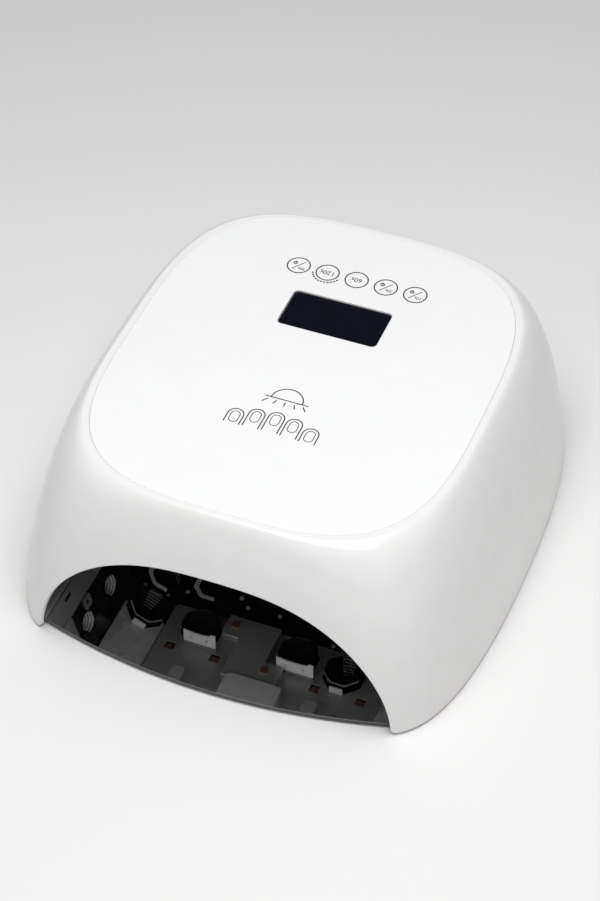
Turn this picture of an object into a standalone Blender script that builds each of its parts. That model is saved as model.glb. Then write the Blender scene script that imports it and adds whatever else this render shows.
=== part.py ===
"""Table-top curing lamp: a domed white shell over a mirror-lined hand chamber.

The origin is at the middle of the lamp's footprint, on the table. X runs
across the lamp, the open front faces -Y and Z is up. Lengths are in metres.
"""

import math

import bmesh
import bpy
from mathutils import Matrix, Vector

# Space left between neighbouring pieces, and how far joined shapes run into each other
GAP = 0.0003
JOIN = 0.0005

# Outer shell: a superellipse at the base that shrinks to another at the rim
BASE_HALF_WIDTH = 0.1120
BASE_HALF_DEPTH = 0.1173
BASE_WIDTH_POWER = 8.77
BASE_DEPTH_POWER = 2.30
RIM_HALF_WIDTH = 0.0880
RIM_HALF_DEPTH = 0.1025
RIM_WIDTH_POWER = 3.27
RIM_DEPTH_POWER = 3.465
RIM_SET_BACK = 0.0042
LAMP_HEIGHT = 0.0937
WALL_CURVE = 1.518
WALL = 0.0024
ROOF_THICKNESS = 0.0024
SHELL_BOTTOM = 0.0012
RIM_BAND = 0.0028
OUTLINE_POINTS = 80
WALL_LEVELS = 9

# Arched opening in the front wall
ARCH_HALF_WIDTH = 0.0857
ARCH_HEIGHT = 0.0634
ARCH_WIDTH_POWER = 2.82
ARCH_HEIGHT_POWER = 1.79
ARCH_FOOT_ROUND = 0.0030
ARCH_POINTS = 40

# Face plate and display
PLATE_THICKNESS = 0.0016
PLATE_GAP = 0.0003
DISPLAY_HALF_WIDTH = 0.0242
DISPLAY_HALF_DEPTH = 0.01225
DISPLAY_Y = 0.0415
DISPLAY_CORNER = 0.0022
DISPLAY_SINK = 0.0010
WINDOW_THICKNESS = 0.0020
MODULE_HEIGHT = 0.0060
MODULE_HALF_WIDTH = 0.0230
MODULE_HALF_DEPTH = 0.0110

# Touch keys
KEY_COUNT = 5
KEY_PITCH = 0.0147
KEY_Y = 0.0704
SPRING_FOOT_RADIUS = 0.0032
SPRING_TOP_RADIUS = 0.0018
SPRING_WIRE_RADIUS = 0.0003
SPRING_TURNS = 3
SPRING_POINTS_PER_TURN = 8

# Mirror tray that closes the chamber from below
TRAY_HALF_WIDTH = 0.0850
TRAY_LIP = 0.0028
TRAY_BOW = 0.0122
TRAY_BACK_Y = 0.0900
TRAY_BOTTOM = 0.0010
TRAY_THICKNESS = 0.0020
TRAY_CORNER = 0.0060
TRAY_CLEARANCE = 0.0004
PAD_RADIUS = 0.0060
PAD_X = 0.0600
PAD_Y = -0.0950

# Base frame with its feet, magnets and screws
FRAME_THICKNESS = 0.0030
FRAME_OPENING_HALF_WIDTH = 0.0845
FRAME_OPENING_BACK_Y = 0.0760
FOOT_RADIUS = 0.0055
FOOT_X = 0.0950
FOOT_Y = 0.0720
MAGNET_RADIUS = 0.0040
MAGNET_X = 0.0450
BOSS_RADIUS = 0.0035
BOSS_TOP = 0.0380
BOSS_Y = 0.0450
BOSS_BORE_DEPTH = 0.0120
SCREW_RADIUS = 0.0013
SCREW_CLEARANCE = 0.0003
SCREW_HEAD_RADIUS = 0.0027
SCREW_HEAD_HEIGHT = 0.0013

# Reflector liner: flat facets from the frame up to the chamber's roof
LINER_THICKNESS = 0.0016
CHAMBER_HALF_WIDTH = 0.0875
CHAMBER_BACK_Y = 0.0780
SIDE_FACET_BOTTOM = 0.0300
SLOPE_HALF_WIDTH = 0.0800
SLOPE_BOTTOM = 0.0600
ROOF_HALF_WIDTH = 0.0585
CHAMBER_ROOF = 0.0700

# Reflector cups and the light sources behind them
CUP_MOUTH_RADIUS = 0.0104
CUP_THROAT_RADIUS = 0.0066
CUP_DROP = 0.0060
CUP_RISE = 0.0050
CUP_WALL = 0.0008
ROOF_CUP_PLACES = ((-0.0400, -0.0335), (0.0110, -0.0330), (0.0360, -0.0360))
SLOPE_CUP_Y = -0.0350
SIDE_CUP_MOUTH_RADIUS = 0.0066
SIDE_CUP_THROAT_RADIUS = 0.0044
SIDE_CUP_RISE = 0.0065
SIDE_CUP_YS = (-0.0680, -0.0425)
CHIP_HALF_SIZE = 0.0023
CHIP_HEIGHT = 0.0016
STAR_BOARD_HALF_SIZE = 0.0070
STAR_BOARD_THICKNESS = 0.0012

# Row of light sources in the roof, and the low panel in the roof's middle
FRONT_ROW_Y = -0.0480
FRONT_ROW_XS = (-0.0508, -0.0270, 0.0254, 0.0490)
FRONT_WINDOW_HALF_SIZE = 0.0028
LED_BOARD_HALF_WIDTH = 0.0560
LED_BOARD_HALF_DEPTH = 0.0040
LED_BOARD_THICKNESS = 0.0012
PANEL_DEPTH = 0.0062
PANEL_BACK_Y = -0.0230
PANEL_FRONT_Y = -0.0600
PANEL_RIGHT_X = 0.0085
PANEL_STEP_X = -0.0190
PANEL_STEP_Y = -0.0360
PANEL_LEFT_CUP_GAP = 0.0019
PANEL_RIGHT_CUP_GAP = 0.0029
PANEL_CHIP_PLACES = ((0.0005, -0.0510), (-0.0235, -0.0290))
PANEL_CHIP_HEIGHT = 0.0008

# Sensor that notices a hand in the chamber
SENSOR_Y = -0.0860
SENSOR_SPACING = 0.0160
SENSOR_RADIUS = 0.0024
SENSOR_BOARD_HALF_WIDTH = 0.0140
SENSOR_BOARD_HALF_DEPTH = 0.0050
SENSOR_DROP = 0.0010

# Screws that hang the liner from posts under the shell's roof
POST_RADIUS = 0.0032
POST_X = 0.0520
POST_Y = -0.0780
POST_CLEARANCE = 0.0010
POST_BORE_DEPTH = 0.0080

# Control board under the face plate
BOARD_THICKNESS = 0.0016
BOARD_HALF_WIDTH = 0.0480
BOARD_FRONT_Y = 0.0180
BOARD_BACK_Y = 0.0820
BOARD_SCREW_X = 0.0410
BOARD_SCREW_Y = 0.0580
BOARD_PART_HEIGHT = 0.0030
BOARD_PART_PLACES = ((-0.0300, 0.0300, 0.0140), (-0.0060, 0.0260, 0.0090), (0.0180, 0.0340, 0.0080))

# Power inlet, its board and the leads
SOCKET_X = 0.0550
SOCKET_Z = 0.0200
SOCKET_RADIUS = 0.0052
SOCKET_BORE_RADIUS = 0.0032
SOCKET_PIN_RADIUS = 0.0009
SOCKET_LENGTH = 0.0130
SOCKET_BORE_DEPTH = 0.0090
SOCKET_PIN_SINK = 0.0016
POWER_BOARD_HALF_WIDTH = 0.0300
POWER_BOARD_FRONT_Y = 0.0860
POWER_BOARD_BACK_Y = 0.1040
POWER_BOARD_BOTTOM = 0.0140
POWER_PILLAR_RADIUS = 0.0030
POWER_PART_HEIGHT = 0.0060
POWER_COIL_X = 0.0100
POWER_COIL_HALF_SIZE = 0.0055
POWER_CAPACITOR_X = -0.0040
POWER_CAPACITOR_RADIUS = 0.0040
POWER_PLUG_X = -0.0250
POWER_PLUG_HALF_SIZE = 0.0030
LEAD_RADIUS = 0.0012
LEAD_STEP = 0.0030
HARNESS_RADIUS = 0.0016
HARNESS_X = -0.0180
HARNESS_Y = 0.0930

# Numbers of sides on round pieces
SHAFT_SIDES = 16
DISC_SIDES = 28
OUTLINE_SEARCH_STEPS = 40
CORNER_STEPS = 5

# Heights and places that follow from the sizes above
CENTRE_Y = TRAY_LIP / 2
RECESS_FLOOR = LAMP_HEIGHT - PLATE_THICKNESS - GAP
CEILING = RECESS_FLOOR - ROOF_THICKNESS
WINDOW_TOP = LAMP_HEIGHT - DISPLAY_SINK
WINDOW_BOTTOM = WINDOW_TOP - WINDOW_THICKNESS
MODULE_TOP = WINDOW_BOTTOM - GAP
BOARD_TOP = MODULE_TOP - MODULE_HEIGHT - GAP
BOARD_BOTTOM = BOARD_TOP - BOARD_THICKNESS
TRAY_TOP = TRAY_BOTTOM + TRAY_THICKNESS
FRAME_BOTTOM = TRAY_TOP + TRAY_CLEARANCE
FRAME_TOP = FRAME_BOTTOM + FRAME_THICKNESS
LINER_BOTTOM = FRAME_TOP + GAP
LINER_TOP = CHAMBER_ROOF + LINER_THICKNESS
MAGNET_Y = (FRAME_OPENING_BACK_Y + TRAY_BACK_Y) / 2
LED_BOARD_BOTTOM = LINER_TOP + CHIP_HEIGHT
FAR = 0.5

for old_object in list(bpy.data.objects):
    bpy.data.objects.remove(old_object, do_unlink=True)

PARTS = bpy.data.collections.new("curing_lamp")
CUTTERS = bpy.data.collections.new("curing_lamp_cutters")
bpy.context.scene.collection.children.link(PARTS)
bpy.context.scene.collection.children.link(CUTTERS)


def make_material(name, colour, roughness, metallic=0.0):
    """A plain finish for one part."""
    material = bpy.data.materials.new(name)
    material.use_nodes = True
    shader = material.node_tree.nodes["Principled BSDF"]
    shader.inputs["Base Color"].default_value = (*colour, 1.0)
    shader.inputs["Roughness"].default_value = roughness
    shader.inputs["Metallic"].default_value = metallic
    return material


FINISHES = {
    "white": ((0.88, 0.88, 0.89), 0.18, 0.0),
    "plate": ((0.92, 0.92, 0.93), 0.12, 0.0),
    "black_glass": ((0.01, 0.01, 0.02), 0.05, 0.0),
    "black_plastic": ((0.03, 0.03, 0.03), 0.45, 0.0),
    "mirror": ((0.55, 0.55, 0.56), 0.03, 1.0),
    "liner": ((0.45, 0.45, 0.46), 0.12, 1.0),
    "chrome": ((0.85, 0.85, 0.86), 0.08, 1.0),
    "chip": ((0.75, 0.55, 0.30), 0.35, 0.0),
    "board": ((0.03, 0.18, 0.08), 0.45, 0.0),
    "rubber": ((0.05, 0.05, 0.05), 0.80, 0.0),
    "steel": ((0.62, 0.62, 0.63), 0.30, 1.0),
    "lead": ((0.25, 0.02, 0.02), 0.50, 0.0),
}


def add_part(name, mesh, finish):
    """Put a mesh in the model as one named part with its own finish."""
    part = bpy.data.objects.new(name, mesh)
    colour, roughness, metallic = FINISHES[finish]
    mesh.materials.clear()
    mesh.materials.append(make_material(name, colour, roughness, metallic))
    PARTS.objects.link(part)
    return part


def shade_round(mesh, sharp_angle=35.0):
    """Shade smooth, and keep edges sharper than the angle in degrees."""
    mesh.shade_smooth()
    mesh.set_sharp_from_angle(angle=math.radians(sharp_angle))


def apply_tool(part, mesh, operation):
    """Cut the part with a hidden tool mesh, or join the tool to it."""
    tool = bpy.data.objects.new(f"{part.name}_{operation.lower()}_tool", mesh)
    tool.hide_render = True
    tool.display_type = "WIRE"
    CUTTERS.objects.link(tool)
    modifier = part.modifiers.new(operation.title(), "BOOLEAN")
    modifier.operation = operation
    modifier.solver = "EXACT"
    modifier.object = tool


def weld(mesh):
    """Join vertices that lie on each other and point the faces outwards."""
    shape = bmesh.new()
    shape.from_mesh(mesh)
    bmesh.ops.remove_doubles(shape, verts=shape.verts, dist=1e-6)
    bmesh.ops.recalc_face_normals(shape, faces=shape.faces)
    shape.to_mesh(mesh)
    shape.free()


def mesh_of_curve(name, curve):
    """The closed mesh of a curve, which is then thrown away."""
    holder = bpy.data.objects.new(name, curve)
    PARTS.objects.link(holder)
    bpy.context.view_layer.update()
    evaluated = holder.evaluated_get(bpy.context.evaluated_depsgraph_get())
    mesh = bpy.data.meshes.new_from_object(evaluated)
    mesh.transform(holder.matrix_world)
    bpy.data.objects.remove(holder, do_unlink=True)
    weld(mesh)
    return mesh


def flat_mesh(outlines, low, high):
    """A plate between two heights; the first outline is its edge, the others are holes."""
    curve = bpy.data.curves.new("outline", "CURVE")
    curve.dimensions = "2D"
    curve.fill_mode = "BOTH"
    curve.extrude = (high - low) / 2
    for outline in outlines:
        spline = curve.splines.new("POLY")
        spline.points.add(len(outline) - 1)
        spline.use_cyclic_u = True
        for point, place in zip(spline.points, outline):
            point.co = (place[0], place[1], 0.0, 1.0)
    mesh = mesh_of_curve("outline", curve)
    mesh.transform(Matrix.Translation((0.0, 0.0, (low + high) / 2)))
    return mesh


def tube_mesh(points, radius, resolution=1):
    """A round wire through the points, closed at both ends."""
    curve = bpy.data.curves.new("wire", "CURVE")
    curve.dimensions = "3D"
    curve.bevel_depth = radius
    curve.bevel_resolution = resolution
    curve.use_fill_caps = True
    spline = curve.splines.new("POLY")
    spline.points.add(len(points) - 1)
    for point, place in zip(spline.points, points):
        point.co = (*place, 1.0)
    return mesh_of_curve("wire", curve)


def box_mesh(low, high):
    """A box between two opposite corners."""
    shape = bmesh.new()
    middle = (Vector(low) + Vector(high)) / 2
    size = Vector(high) - Vector(low)
    place = Matrix.Translation(middle) @ Matrix.Diagonal((*size, 1.0))
    bmesh.ops.create_cube(shape, size=1.0, matrix=place)
    mesh = bpy.data.meshes.new("box")
    shape.to_mesh(mesh)
    shape.free()
    return mesh


def disc_mesh(x, y, radius, low, high, sides=SHAFT_SIDES):
    """An upright cylinder between two heights."""
    shape = bmesh.new()
    place = Matrix.Translation((x, y, (low + high) / 2))
    bmesh.ops.create_cone(
        shape, cap_ends=True, segments=sides, radius1=radius, radius2=radius,
        depth=high - low, matrix=place)
    mesh = bpy.data.meshes.new("disc")
    shape.to_mesh(mesh)
    shape.free()
    return mesh


def octagon_mesh(radius, low, high):
    """An upright eight-sided prism with flats across X and Y."""
    mesh = disc_mesh(0.0, 0.0, radius, low, high, sides=8)
    mesh.transform(Matrix.Rotation(math.pi / 8, 4, "Z"))
    return mesh


def placed(mesh, matrix):
    """The mesh, moved by the matrix."""
    mesh.transform(matrix)
    return mesh


def together(meshes):
    """One mesh that holds all the given ones as separate bodies."""
    shape = bmesh.new()
    for mesh in meshes:
        shape.from_mesh(mesh)
    result = bpy.data.meshes.new("group")
    shape.to_mesh(result)
    shape.free()
    return result


def loft_mesh(rings):
    """A solid skinned through rings of equal point count, closed at its two ends.

    Every quad is split the same way, so that a skin stays clear of the one inside it.
    """
    shape = bmesh.new()
    loops = []
    for ring in rings:
        loops.append([shape.verts.new(point) for point in ring])
    count = len(rings[0])
    for lower, upper in zip(loops, loops[1:]):
        for i in range(count):
            j = (i + 1) % count
            shape.faces.new((lower[i], lower[j], upper[j]))
            shape.faces.new((lower[i], upper[j], upper[i]))
    shape.faces.new(reversed(loops[0]))
    shape.faces.new(loops[-1])
    bmesh.ops.recalc_face_normals(shape, faces=shape.faces)
    mesh = bpy.data.meshes.new("loft")
    shape.to_mesh(mesh)
    shape.free()
    return mesh


def superellipse(half_width, half_depth, width_power, depth_power, centre_y):
    """Closed outline |x/a|^m + |y/b|^n = 1, with a point at each equal step of angle."""
    points = []
    for step in range(OUTLINE_POINTS):
        angle = math.tau * step / OUTLINE_POINTS
        across = abs(math.cos(angle)) / half_width
        along = abs(math.sin(angle)) / half_depth
        near = 0.0
        far = 2 * (half_width + half_depth)
        for _ in range(OUTLINE_SEARCH_STEPS):
            reach = (near + far) / 2
            if (reach * across) ** width_power + (reach * along) ** depth_power > 1:
                far = reach
            else:
                near = reach
        points.append((near * math.cos(angle), centre_y + near * math.sin(angle)))
    return points


def wall_spread(z, height):
    """How far the wall at height z has come from the rim's size (0) to the base's (1)."""
    return (1 - min(z / height, 1.0) ** WALL_CURVE) ** (1 / WALL_CURVE)


def wall_sizes(z, inset, height):
    """Half width, half depth, both powers and centre of the shell's section at height z."""
    spread = wall_spread(z, height)

    def between(rim, base):
        return rim + (base - rim) * spread

    return (between(RIM_HALF_WIDTH, BASE_HALF_WIDTH) - inset,
            between(RIM_HALF_DEPTH, BASE_HALF_DEPTH) - inset,
            between(RIM_WIDTH_POWER, BASE_WIDTH_POWER),
            between(RIM_DEPTH_POWER, BASE_DEPTH_POWER),
            CENTRE_Y + between(RIM_SET_BACK, 0.0))


def wall_ring(z, inset, height):
    """Points round the shell's wall at height z."""
    return [(x, y, z) for x, y in superellipse(*wall_sizes(z, inset, height))]


def wall_x(y, z, inset, height):
    """Where the wall's side is, at depth y and height z."""
    half_width, half_depth, width_power, depth_power, centre_y = wall_sizes(z, inset, height)
    return half_width * (1 - abs((y - centre_y) / half_depth) ** depth_power) ** (1 / width_power)


def wall_heights(bottom, top):
    """Heights of the wall's rings, closest together where the wall curves most."""
    heights = [bottom]
    for step in range(1, WALL_LEVELS + 1):
        angle = math.pi / 2 * step / WALL_LEVELS
        heights.append(top * math.sin(angle) ** (2 / WALL_CURVE))
    return heights


def rim_outline(inset):
    """The rim's outline, moved inwards."""
    return superellipse(*wall_sizes(LAMP_HEIGHT, inset, LAMP_HEIGHT))


def rounded_rectangle(low, high, corner):
    """Outline of a rectangle with round corners."""
    centres = ((high[0] - corner, high[1] - corner), (low[0] + corner, high[1] - corner),
               (low[0] + corner, low[1] + corner), (high[0] - corner, low[1] + corner))
    points = []
    for quarter, (x, y) in enumerate(centres):
        for step in range(CORNER_STEPS + 1):
            angle = math.pi / 2 * (quarter + step / CORNER_STEPS)
            points.append((x + corner * math.cos(angle), y + corner * math.sin(angle)))
    return points


def display_outline(margin):
    """The display's outline, made larger all round by the margin."""
    half_width = DISPLAY_HALF_WIDTH + margin
    half_depth = DISPLAY_HALF_DEPTH + margin
    return rounded_rectangle((-half_width, DISPLAY_Y - half_depth),
                             (half_width, DISPLAY_Y + half_depth), DISPLAY_CORNER + margin)


def arch_outline():
    """Outline of the opening as (x, z), with feet that flare out in a small round."""
    points = []
    for step in range(ARCH_POINTS + 1):
        angle = math.pi * step / ARCH_POINTS
        side = math.copysign(1.0, math.cos(angle))
        x = side * ARCH_HALF_WIDTH * abs(math.cos(angle)) ** (2 / ARCH_WIDTH_POWER)
        z = ARCH_HEIGHT * math.sin(angle) ** (2 / ARCH_HEIGHT_POWER)
        if z > SHELL_BOTTOM + ARCH_FOOT_ROUND:
            points.append((x, z))
    foot_x, foot_z = points[0][0], SHELL_BOTTOM
    flare = []
    for step in range(CORNER_STEPS):
        angle = math.pi / 2 * step / CORNER_STEPS
        flare.append((foot_x + ARCH_FOOT_ROUND * (1 - math.sin(angle)),
                      foot_z + ARCH_FOOT_ROUND * (1 - math.cos(angle))))
    below = (flare[0][0], -BASE_HALF_WIDTH)
    right = [below] + flare
    left = [(-x, z) for x, z in reversed(right)]
    return right + points + left


def arch_tool():
    """Solid that cuts the opening through the front wall only."""
    mesh = flat_mesh([arch_outline()], 0.0, FAR)
    upright = Matrix.Rotation(math.pi / 2, 4, "X")
    front_half = Matrix.Translation((0.0, CENTRE_Y - RIM_HALF_DEPTH / 2, 0.0))
    return placed(mesh, front_half @ upright)


def boss_x(y):
    """Where a boss stands, so that its top runs into the leaning side wall."""
    inner = wall_x(y, BOSS_TOP, WALL, CEILING)
    return inner - BOSS_RADIUS + JOIN


def boss_places():
    """Places of the four bosses that the base frame is screwed to."""
    return [(side * boss_x(y), y) for y in (-BOSS_Y, BOSS_Y) for side in (-1, 1)]


def post_places():
    """Places of the posts that the liner hangs from."""
    return [(-POST_X, POST_Y), (POST_X, POST_Y)]


def board_screw_places():
    """Places of the control board's screws."""
    return [(-BOARD_SCREW_X, BOARD_SCREW_Y), (BOARD_SCREW_X, BOARD_SCREW_Y)]


def make_outer_shell():
    inner = [wall_ring(z, WALL, CEILING) for z in reversed(wall_heights(SHELL_BOTTOM, CEILING))]
    outer = [wall_ring(z, 0.0, LAMP_HEIGHT) for z in wall_heights(SHELL_BOTTOM, LAMP_HEIGHT)]
    recess = [[(x, y, z) for x, y in rim_outline(RIM_BAND)] for z in (LAMP_HEIGHT, RECESS_FLOOR)]
    mesh = loft_mesh(inner + outer + recess)
    shade_round(mesh)
    shell = add_part("outer_shell", mesh, "white")
    added = [disc_mesh(x, y, BOSS_RADIUS, LINER_BOTTOM, BOSS_TOP) for x, y in boss_places()]
    post_bottom = LINER_TOP + POST_CLEARANCE
    for x, y in post_places():
        added.append(disc_mesh(x, y, POST_RADIUS, post_bottom, CEILING + JOIN))
    for x, y in board_screw_places():
        added.append(disc_mesh(x, y, POST_RADIUS, BOARD_TOP + GAP, CEILING + JOIN))
    apply_tool(shell, together(added), "UNION")
    bore = SCREW_RADIUS + SCREW_CLEARANCE
    removed = [arch_tool()]
    removed.append(flat_mesh([display_outline(GAP)], CEILING - JOIN, LAMP_HEIGHT))
    socket_hole = disc_mesh(0.0, 0.0, SOCKET_RADIUS + GAP, 0.0, FAR)
    backwards = Matrix.Rotation(-math.pi / 2, 4, "X")
    removed.append(placed(socket_hole, Matrix.Translation((SOCKET_X, 0.0, SOCKET_Z)) @ backwards))
    for x, y in boss_places():
        removed.append(disc_mesh(x, y, bore, 0.0, LINER_BOTTOM + BOSS_BORE_DEPTH))
    for x, y in post_places():
        removed.append(disc_mesh(x, y, bore, post_bottom - JOIN, post_bottom + POST_BORE_DEPTH))
    for x, y in board_screw_places():
        removed.append(disc_mesh(x, y, bore, BOARD_BOTTOM, CEILING - JOIN))
    apply_tool(shell, together(removed), "DIFFERENCE")


def make_face_plate():
    outlines = [rim_outline(RIM_BAND + PLATE_GAP), display_outline(GAP)]
    mesh = flat_mesh(outlines, RECESS_FLOOR + GAP, LAMP_HEIGHT)
    shade_round(mesh)
    add_part("face_plate", mesh, "plate")


def make_display():
    add_part("display_window", flat_mesh([display_outline(0.0)], WINDOW_BOTTOM, WINDOW_TOP),
             "black_glass")
    low = (-MODULE_HALF_WIDTH, DISPLAY_Y - MODULE_HALF_DEPTH, MODULE_TOP - MODULE_HEIGHT)
    high = (MODULE_HALF_WIDTH, DISPLAY_Y + MODULE_HALF_DEPTH, MODULE_TOP)
    add_part("display_module", box_mesh(low, high), "black_plastic")


def make_control_board():
    edge = rounded_rectangle((-BOARD_HALF_WIDTH, BOARD_FRONT_Y), (BOARD_HALF_WIDTH, BOARD_BACK_Y),
                             DISPLAY_CORNER)
    board = add_part("control_board", flat_mesh([edge], BOARD_BOTTOM, BOARD_TOP), "board")
    bore = SCREW_RADIUS + SCREW_CLEARANCE
    holes = [disc_mesh(x, y, bore, BOARD_BOTTOM - JOIN, BOARD_TOP + JOIN)
             for x, y in board_screw_places()]
    apply_tool(board, together(holes), "DIFFERENCE")
    low = BOARD_BOTTOM - BOARD_PART_HEIGHT
    high = BOARD_BOTTOM + JOIN
    chips = [box_mesh((x, y, low), (x + size, y + size, high)) for x, y, size in BOARD_PART_PLACES]
    apply_tool(board, together(chips), "UNION")


def make_touch_springs():
    low = BOARD_TOP + GAP + SPRING_WIRE_RADIUS
    high = CEILING - GAP - SPRING_WIRE_RADIUS
    steps = SPRING_TURNS * SPRING_POINTS_PER_TURN
    points = []
    for step in range(steps + 1):
        share = step / steps
        angle = math.tau * SPRING_TURNS * share
        radius = SPRING_FOOT_RADIUS + (SPRING_TOP_RADIUS - SPRING_FOOT_RADIUS) * share
        points.append((radius * math.cos(angle), radius * math.sin(angle),
                       low + (high - low) * share))
    for key in range(KEY_COUNT):
        mesh = tube_mesh(points, SPRING_WIRE_RADIUS)
        shade_round(mesh, 80.0)
        spring = add_part(f"touch_spring_{key + 1}", mesh, "steel")
        spring.location = (KEY_PITCH * (key - (KEY_COUNT - 1) / 2), KEY_Y, 0.0)


def make_screw(name, x, y, head_low, tip):
    """A pan-head screw that points up."""
    head_high = head_low + SCREW_HEAD_HEIGHT
    mesh = disc_mesh(0.0, 0.0, SCREW_HEAD_RADIUS, head_low, head_high)
    shade_round(mesh)
    screw = add_part(name, mesh, "steel")
    shank = disc_mesh(0.0, 0.0, SCREW_RADIUS, head_high - JOIN, tip)
    apply_tool(screw, placed(shank, Matrix.Translation((x, y, 0.0))), "UNION")
    screw.location = (x, y, 0.0)


def make_screws():
    low = FRAME_BOTTOM - GAP - SCREW_HEAD_HEIGHT
    for number, (x, y) in enumerate(boss_places(), start=1):
        make_screw(f"base_screw_{number}", x, y, low, LINER_BOTTOM + BOSS_BORE_DEPTH - GAP)
    low = CHAMBER_ROOF - GAP - SCREW_HEAD_HEIGHT
    tip = LINER_TOP + POST_CLEARANCE + POST_BORE_DEPTH - GAP
    for number, (x, y) in enumerate(post_places(), start=1):
        make_screw(f"liner_screw_{number}", x, y, low, tip)
    low = BOARD_BOTTOM - GAP - SCREW_HEAD_HEIGHT
    for number, (x, y) in enumerate(board_screw_places(), start=1):
        make_screw(f"board_screw_{number}", x, y, low, CEILING - JOIN - GAP)


def make_mirror_tray():
    front = CENTRE_Y - BASE_HALF_DEPTH - TRAY_LIP
    outline = []
    for step in range(ARCH_POINTS + 1):
        share = 2 * step / ARCH_POINTS - 1
        outline.append((TRAY_HALF_WIDTH * share, front + TRAY_BOW * share * share))
    back = rounded_rectangle((-TRAY_HALF_WIDTH, front), (TRAY_HALF_WIDTH, TRAY_BACK_Y), TRAY_CORNER)
    outline += [point for point in back if point[1] > 0]
    mesh = flat_mesh([outline], TRAY_BOTTOM, TRAY_TOP)
    shade_round(mesh)
    add_part("mirror_tray", mesh, "mirror")
    for side, name in ((-1, "tray_pad_left"), (1, "tray_pad_right")):
        pad = disc_mesh(side * PAD_X, PAD_Y, PAD_RADIUS, 0.0, TRAY_BOTTOM - GAP, DISC_SIDES)
        add_part(name, pad, "rubber")


def make_base_frame():
    outline = superellipse(*wall_sizes(FRAME_TOP, WALL + GAP, CEILING))
    frame = add_part("base_frame", flat_mesh([outline], FRAME_BOTTOM, FRAME_TOP), "black_plastic")
    pillars = [disc_mesh(side * POWER_BOARD_HALF_WIDTH / 2, power_board_y(), POWER_PILLAR_RADIUS,
                         FRAME_TOP - JOIN, POWER_BOARD_BOTTOM - GAP) for side in (-1, 1)]
    apply_tool(frame, together(pillars), "UNION")
    opening = box_mesh((-FRAME_OPENING_HALF_WIDTH, -FAR, FRAME_BOTTOM - JOIN),
                       (FRAME_OPENING_HALF_WIDTH, FRAME_OPENING_BACK_Y, FRAME_TOP + JOIN))
    removed = [opening]
    for side in (-1, 1):
        removed.append(disc_mesh(side * MAGNET_X, MAGNET_Y, MAGNET_RADIUS + GAP,
                                 FRAME_BOTTOM - JOIN, FRAME_TOP + JOIN, DISC_SIDES))
    for x, y in boss_places():
        removed.append(disc_mesh(x, y, SCREW_RADIUS + SCREW_CLEARANCE,
                                 FRAME_BOTTOM - JOIN, FRAME_TOP + JOIN))
    apply_tool(frame, together(removed), "DIFFERENCE")


def make_feet_and_magnets():
    corners = {"front_left": (-1, -1), "front_right": (1, -1),
               "rear_left": (-1, 1), "rear_right": (1, 1)}
    for name, (side, end) in corners.items():
        foot = disc_mesh(side * FOOT_X, CENTRE_Y + end * FOOT_Y, FOOT_RADIUS,
                         0.0, FRAME_BOTTOM - GAP, DISC_SIDES)
        shade_round(foot)
        add_part(f"rubber_foot_{name}", foot, "rubber")
    for side, name in ((-1, "tray_magnet_left"), (1, "tray_magnet_right")):
        magnet = disc_mesh(side * MAGNET_X, MAGNET_Y, MAGNET_RADIUS,
                           FRAME_BOTTOM + GAP, FRAME_TOP - GAP, DISC_SIDES)
        shade_round(magnet)
        add_part(name, magnet, "steel")


def chamber_section():
    """Inner corners of the liner, from the left foot over the roof to the right foot."""
    right = [(ROOF_HALF_WIDTH, CHAMBER_ROOF), (SLOPE_HALF_WIDTH, SLOPE_BOTTOM),
             (CHAMBER_HALF_WIDTH, SIDE_FACET_BOTTOM), (CHAMBER_HALF_WIDTH, LINER_BOTTOM)]
    left = [(-x, z) for x, z in reversed(right)]
    return left + right


def facet_frame(side, lower, upper, y):
    """Frame on the middle of a side facet: +Z points out of the chamber."""
    run = upper[0] - lower[0]
    rise = upper[1] - lower[1]
    middle = Vector((side * (lower[0] + upper[0]) / 2, y, (lower[1] + upper[1]) / 2))
    lean = math.atan2(rise, -run)
    return Matrix.Translation(middle) @ Matrix.Rotation(side * lean, 4, "Y")


def slope_frame(side):
    """Frame on the sloping facet beside the roof."""
    return facet_frame(side, (SLOPE_HALF_WIDTH, SLOPE_BOTTOM), (ROOF_HALF_WIDTH, CHAMBER_ROOF),
                       SLOPE_CUP_Y)


def side_frame(side, y):
    """Frame on the steep side facet."""
    return facet_frame(side, (CHAMBER_HALF_WIDTH, SIDE_FACET_BOTTOM),
                       (SLOPE_HALF_WIDTH, SLOPE_BOTTOM), y)


def large_cup_frames():
    """Frames of the large cups, by name."""
    frames = {}
    for number, (x, y) in enumerate(ROOF_CUP_PLACES, start=1):
        frames[f"roof_cup_{number}"] = Matrix.Translation((x, y, CHAMBER_ROOF))
    frames["slope_cup_left"] = slope_frame(-1)
    frames["slope_cup_right"] = slope_frame(1)
    return frames


def small_cup_frames():
    """Frames of the small cups in the side facets, by name."""
    frames = {}
    for side, word in ((-1, "left"), (1, "right")):
        for number, y in enumerate(SIDE_CUP_YS, start=1):
            frames[f"side_cup_{word}_{number}"] = side_frame(side, y)
    return frames


def cup_radius_at(height):
    """Outer radius of a large cup, at a height above the liner's inner face."""
    share = (height + CUP_DROP) / (CUP_RISE + CUP_DROP)
    return CUP_MOUTH_RADIUS + (CUP_THROAT_RADIUS - CUP_MOUTH_RADIUS) * share


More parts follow.
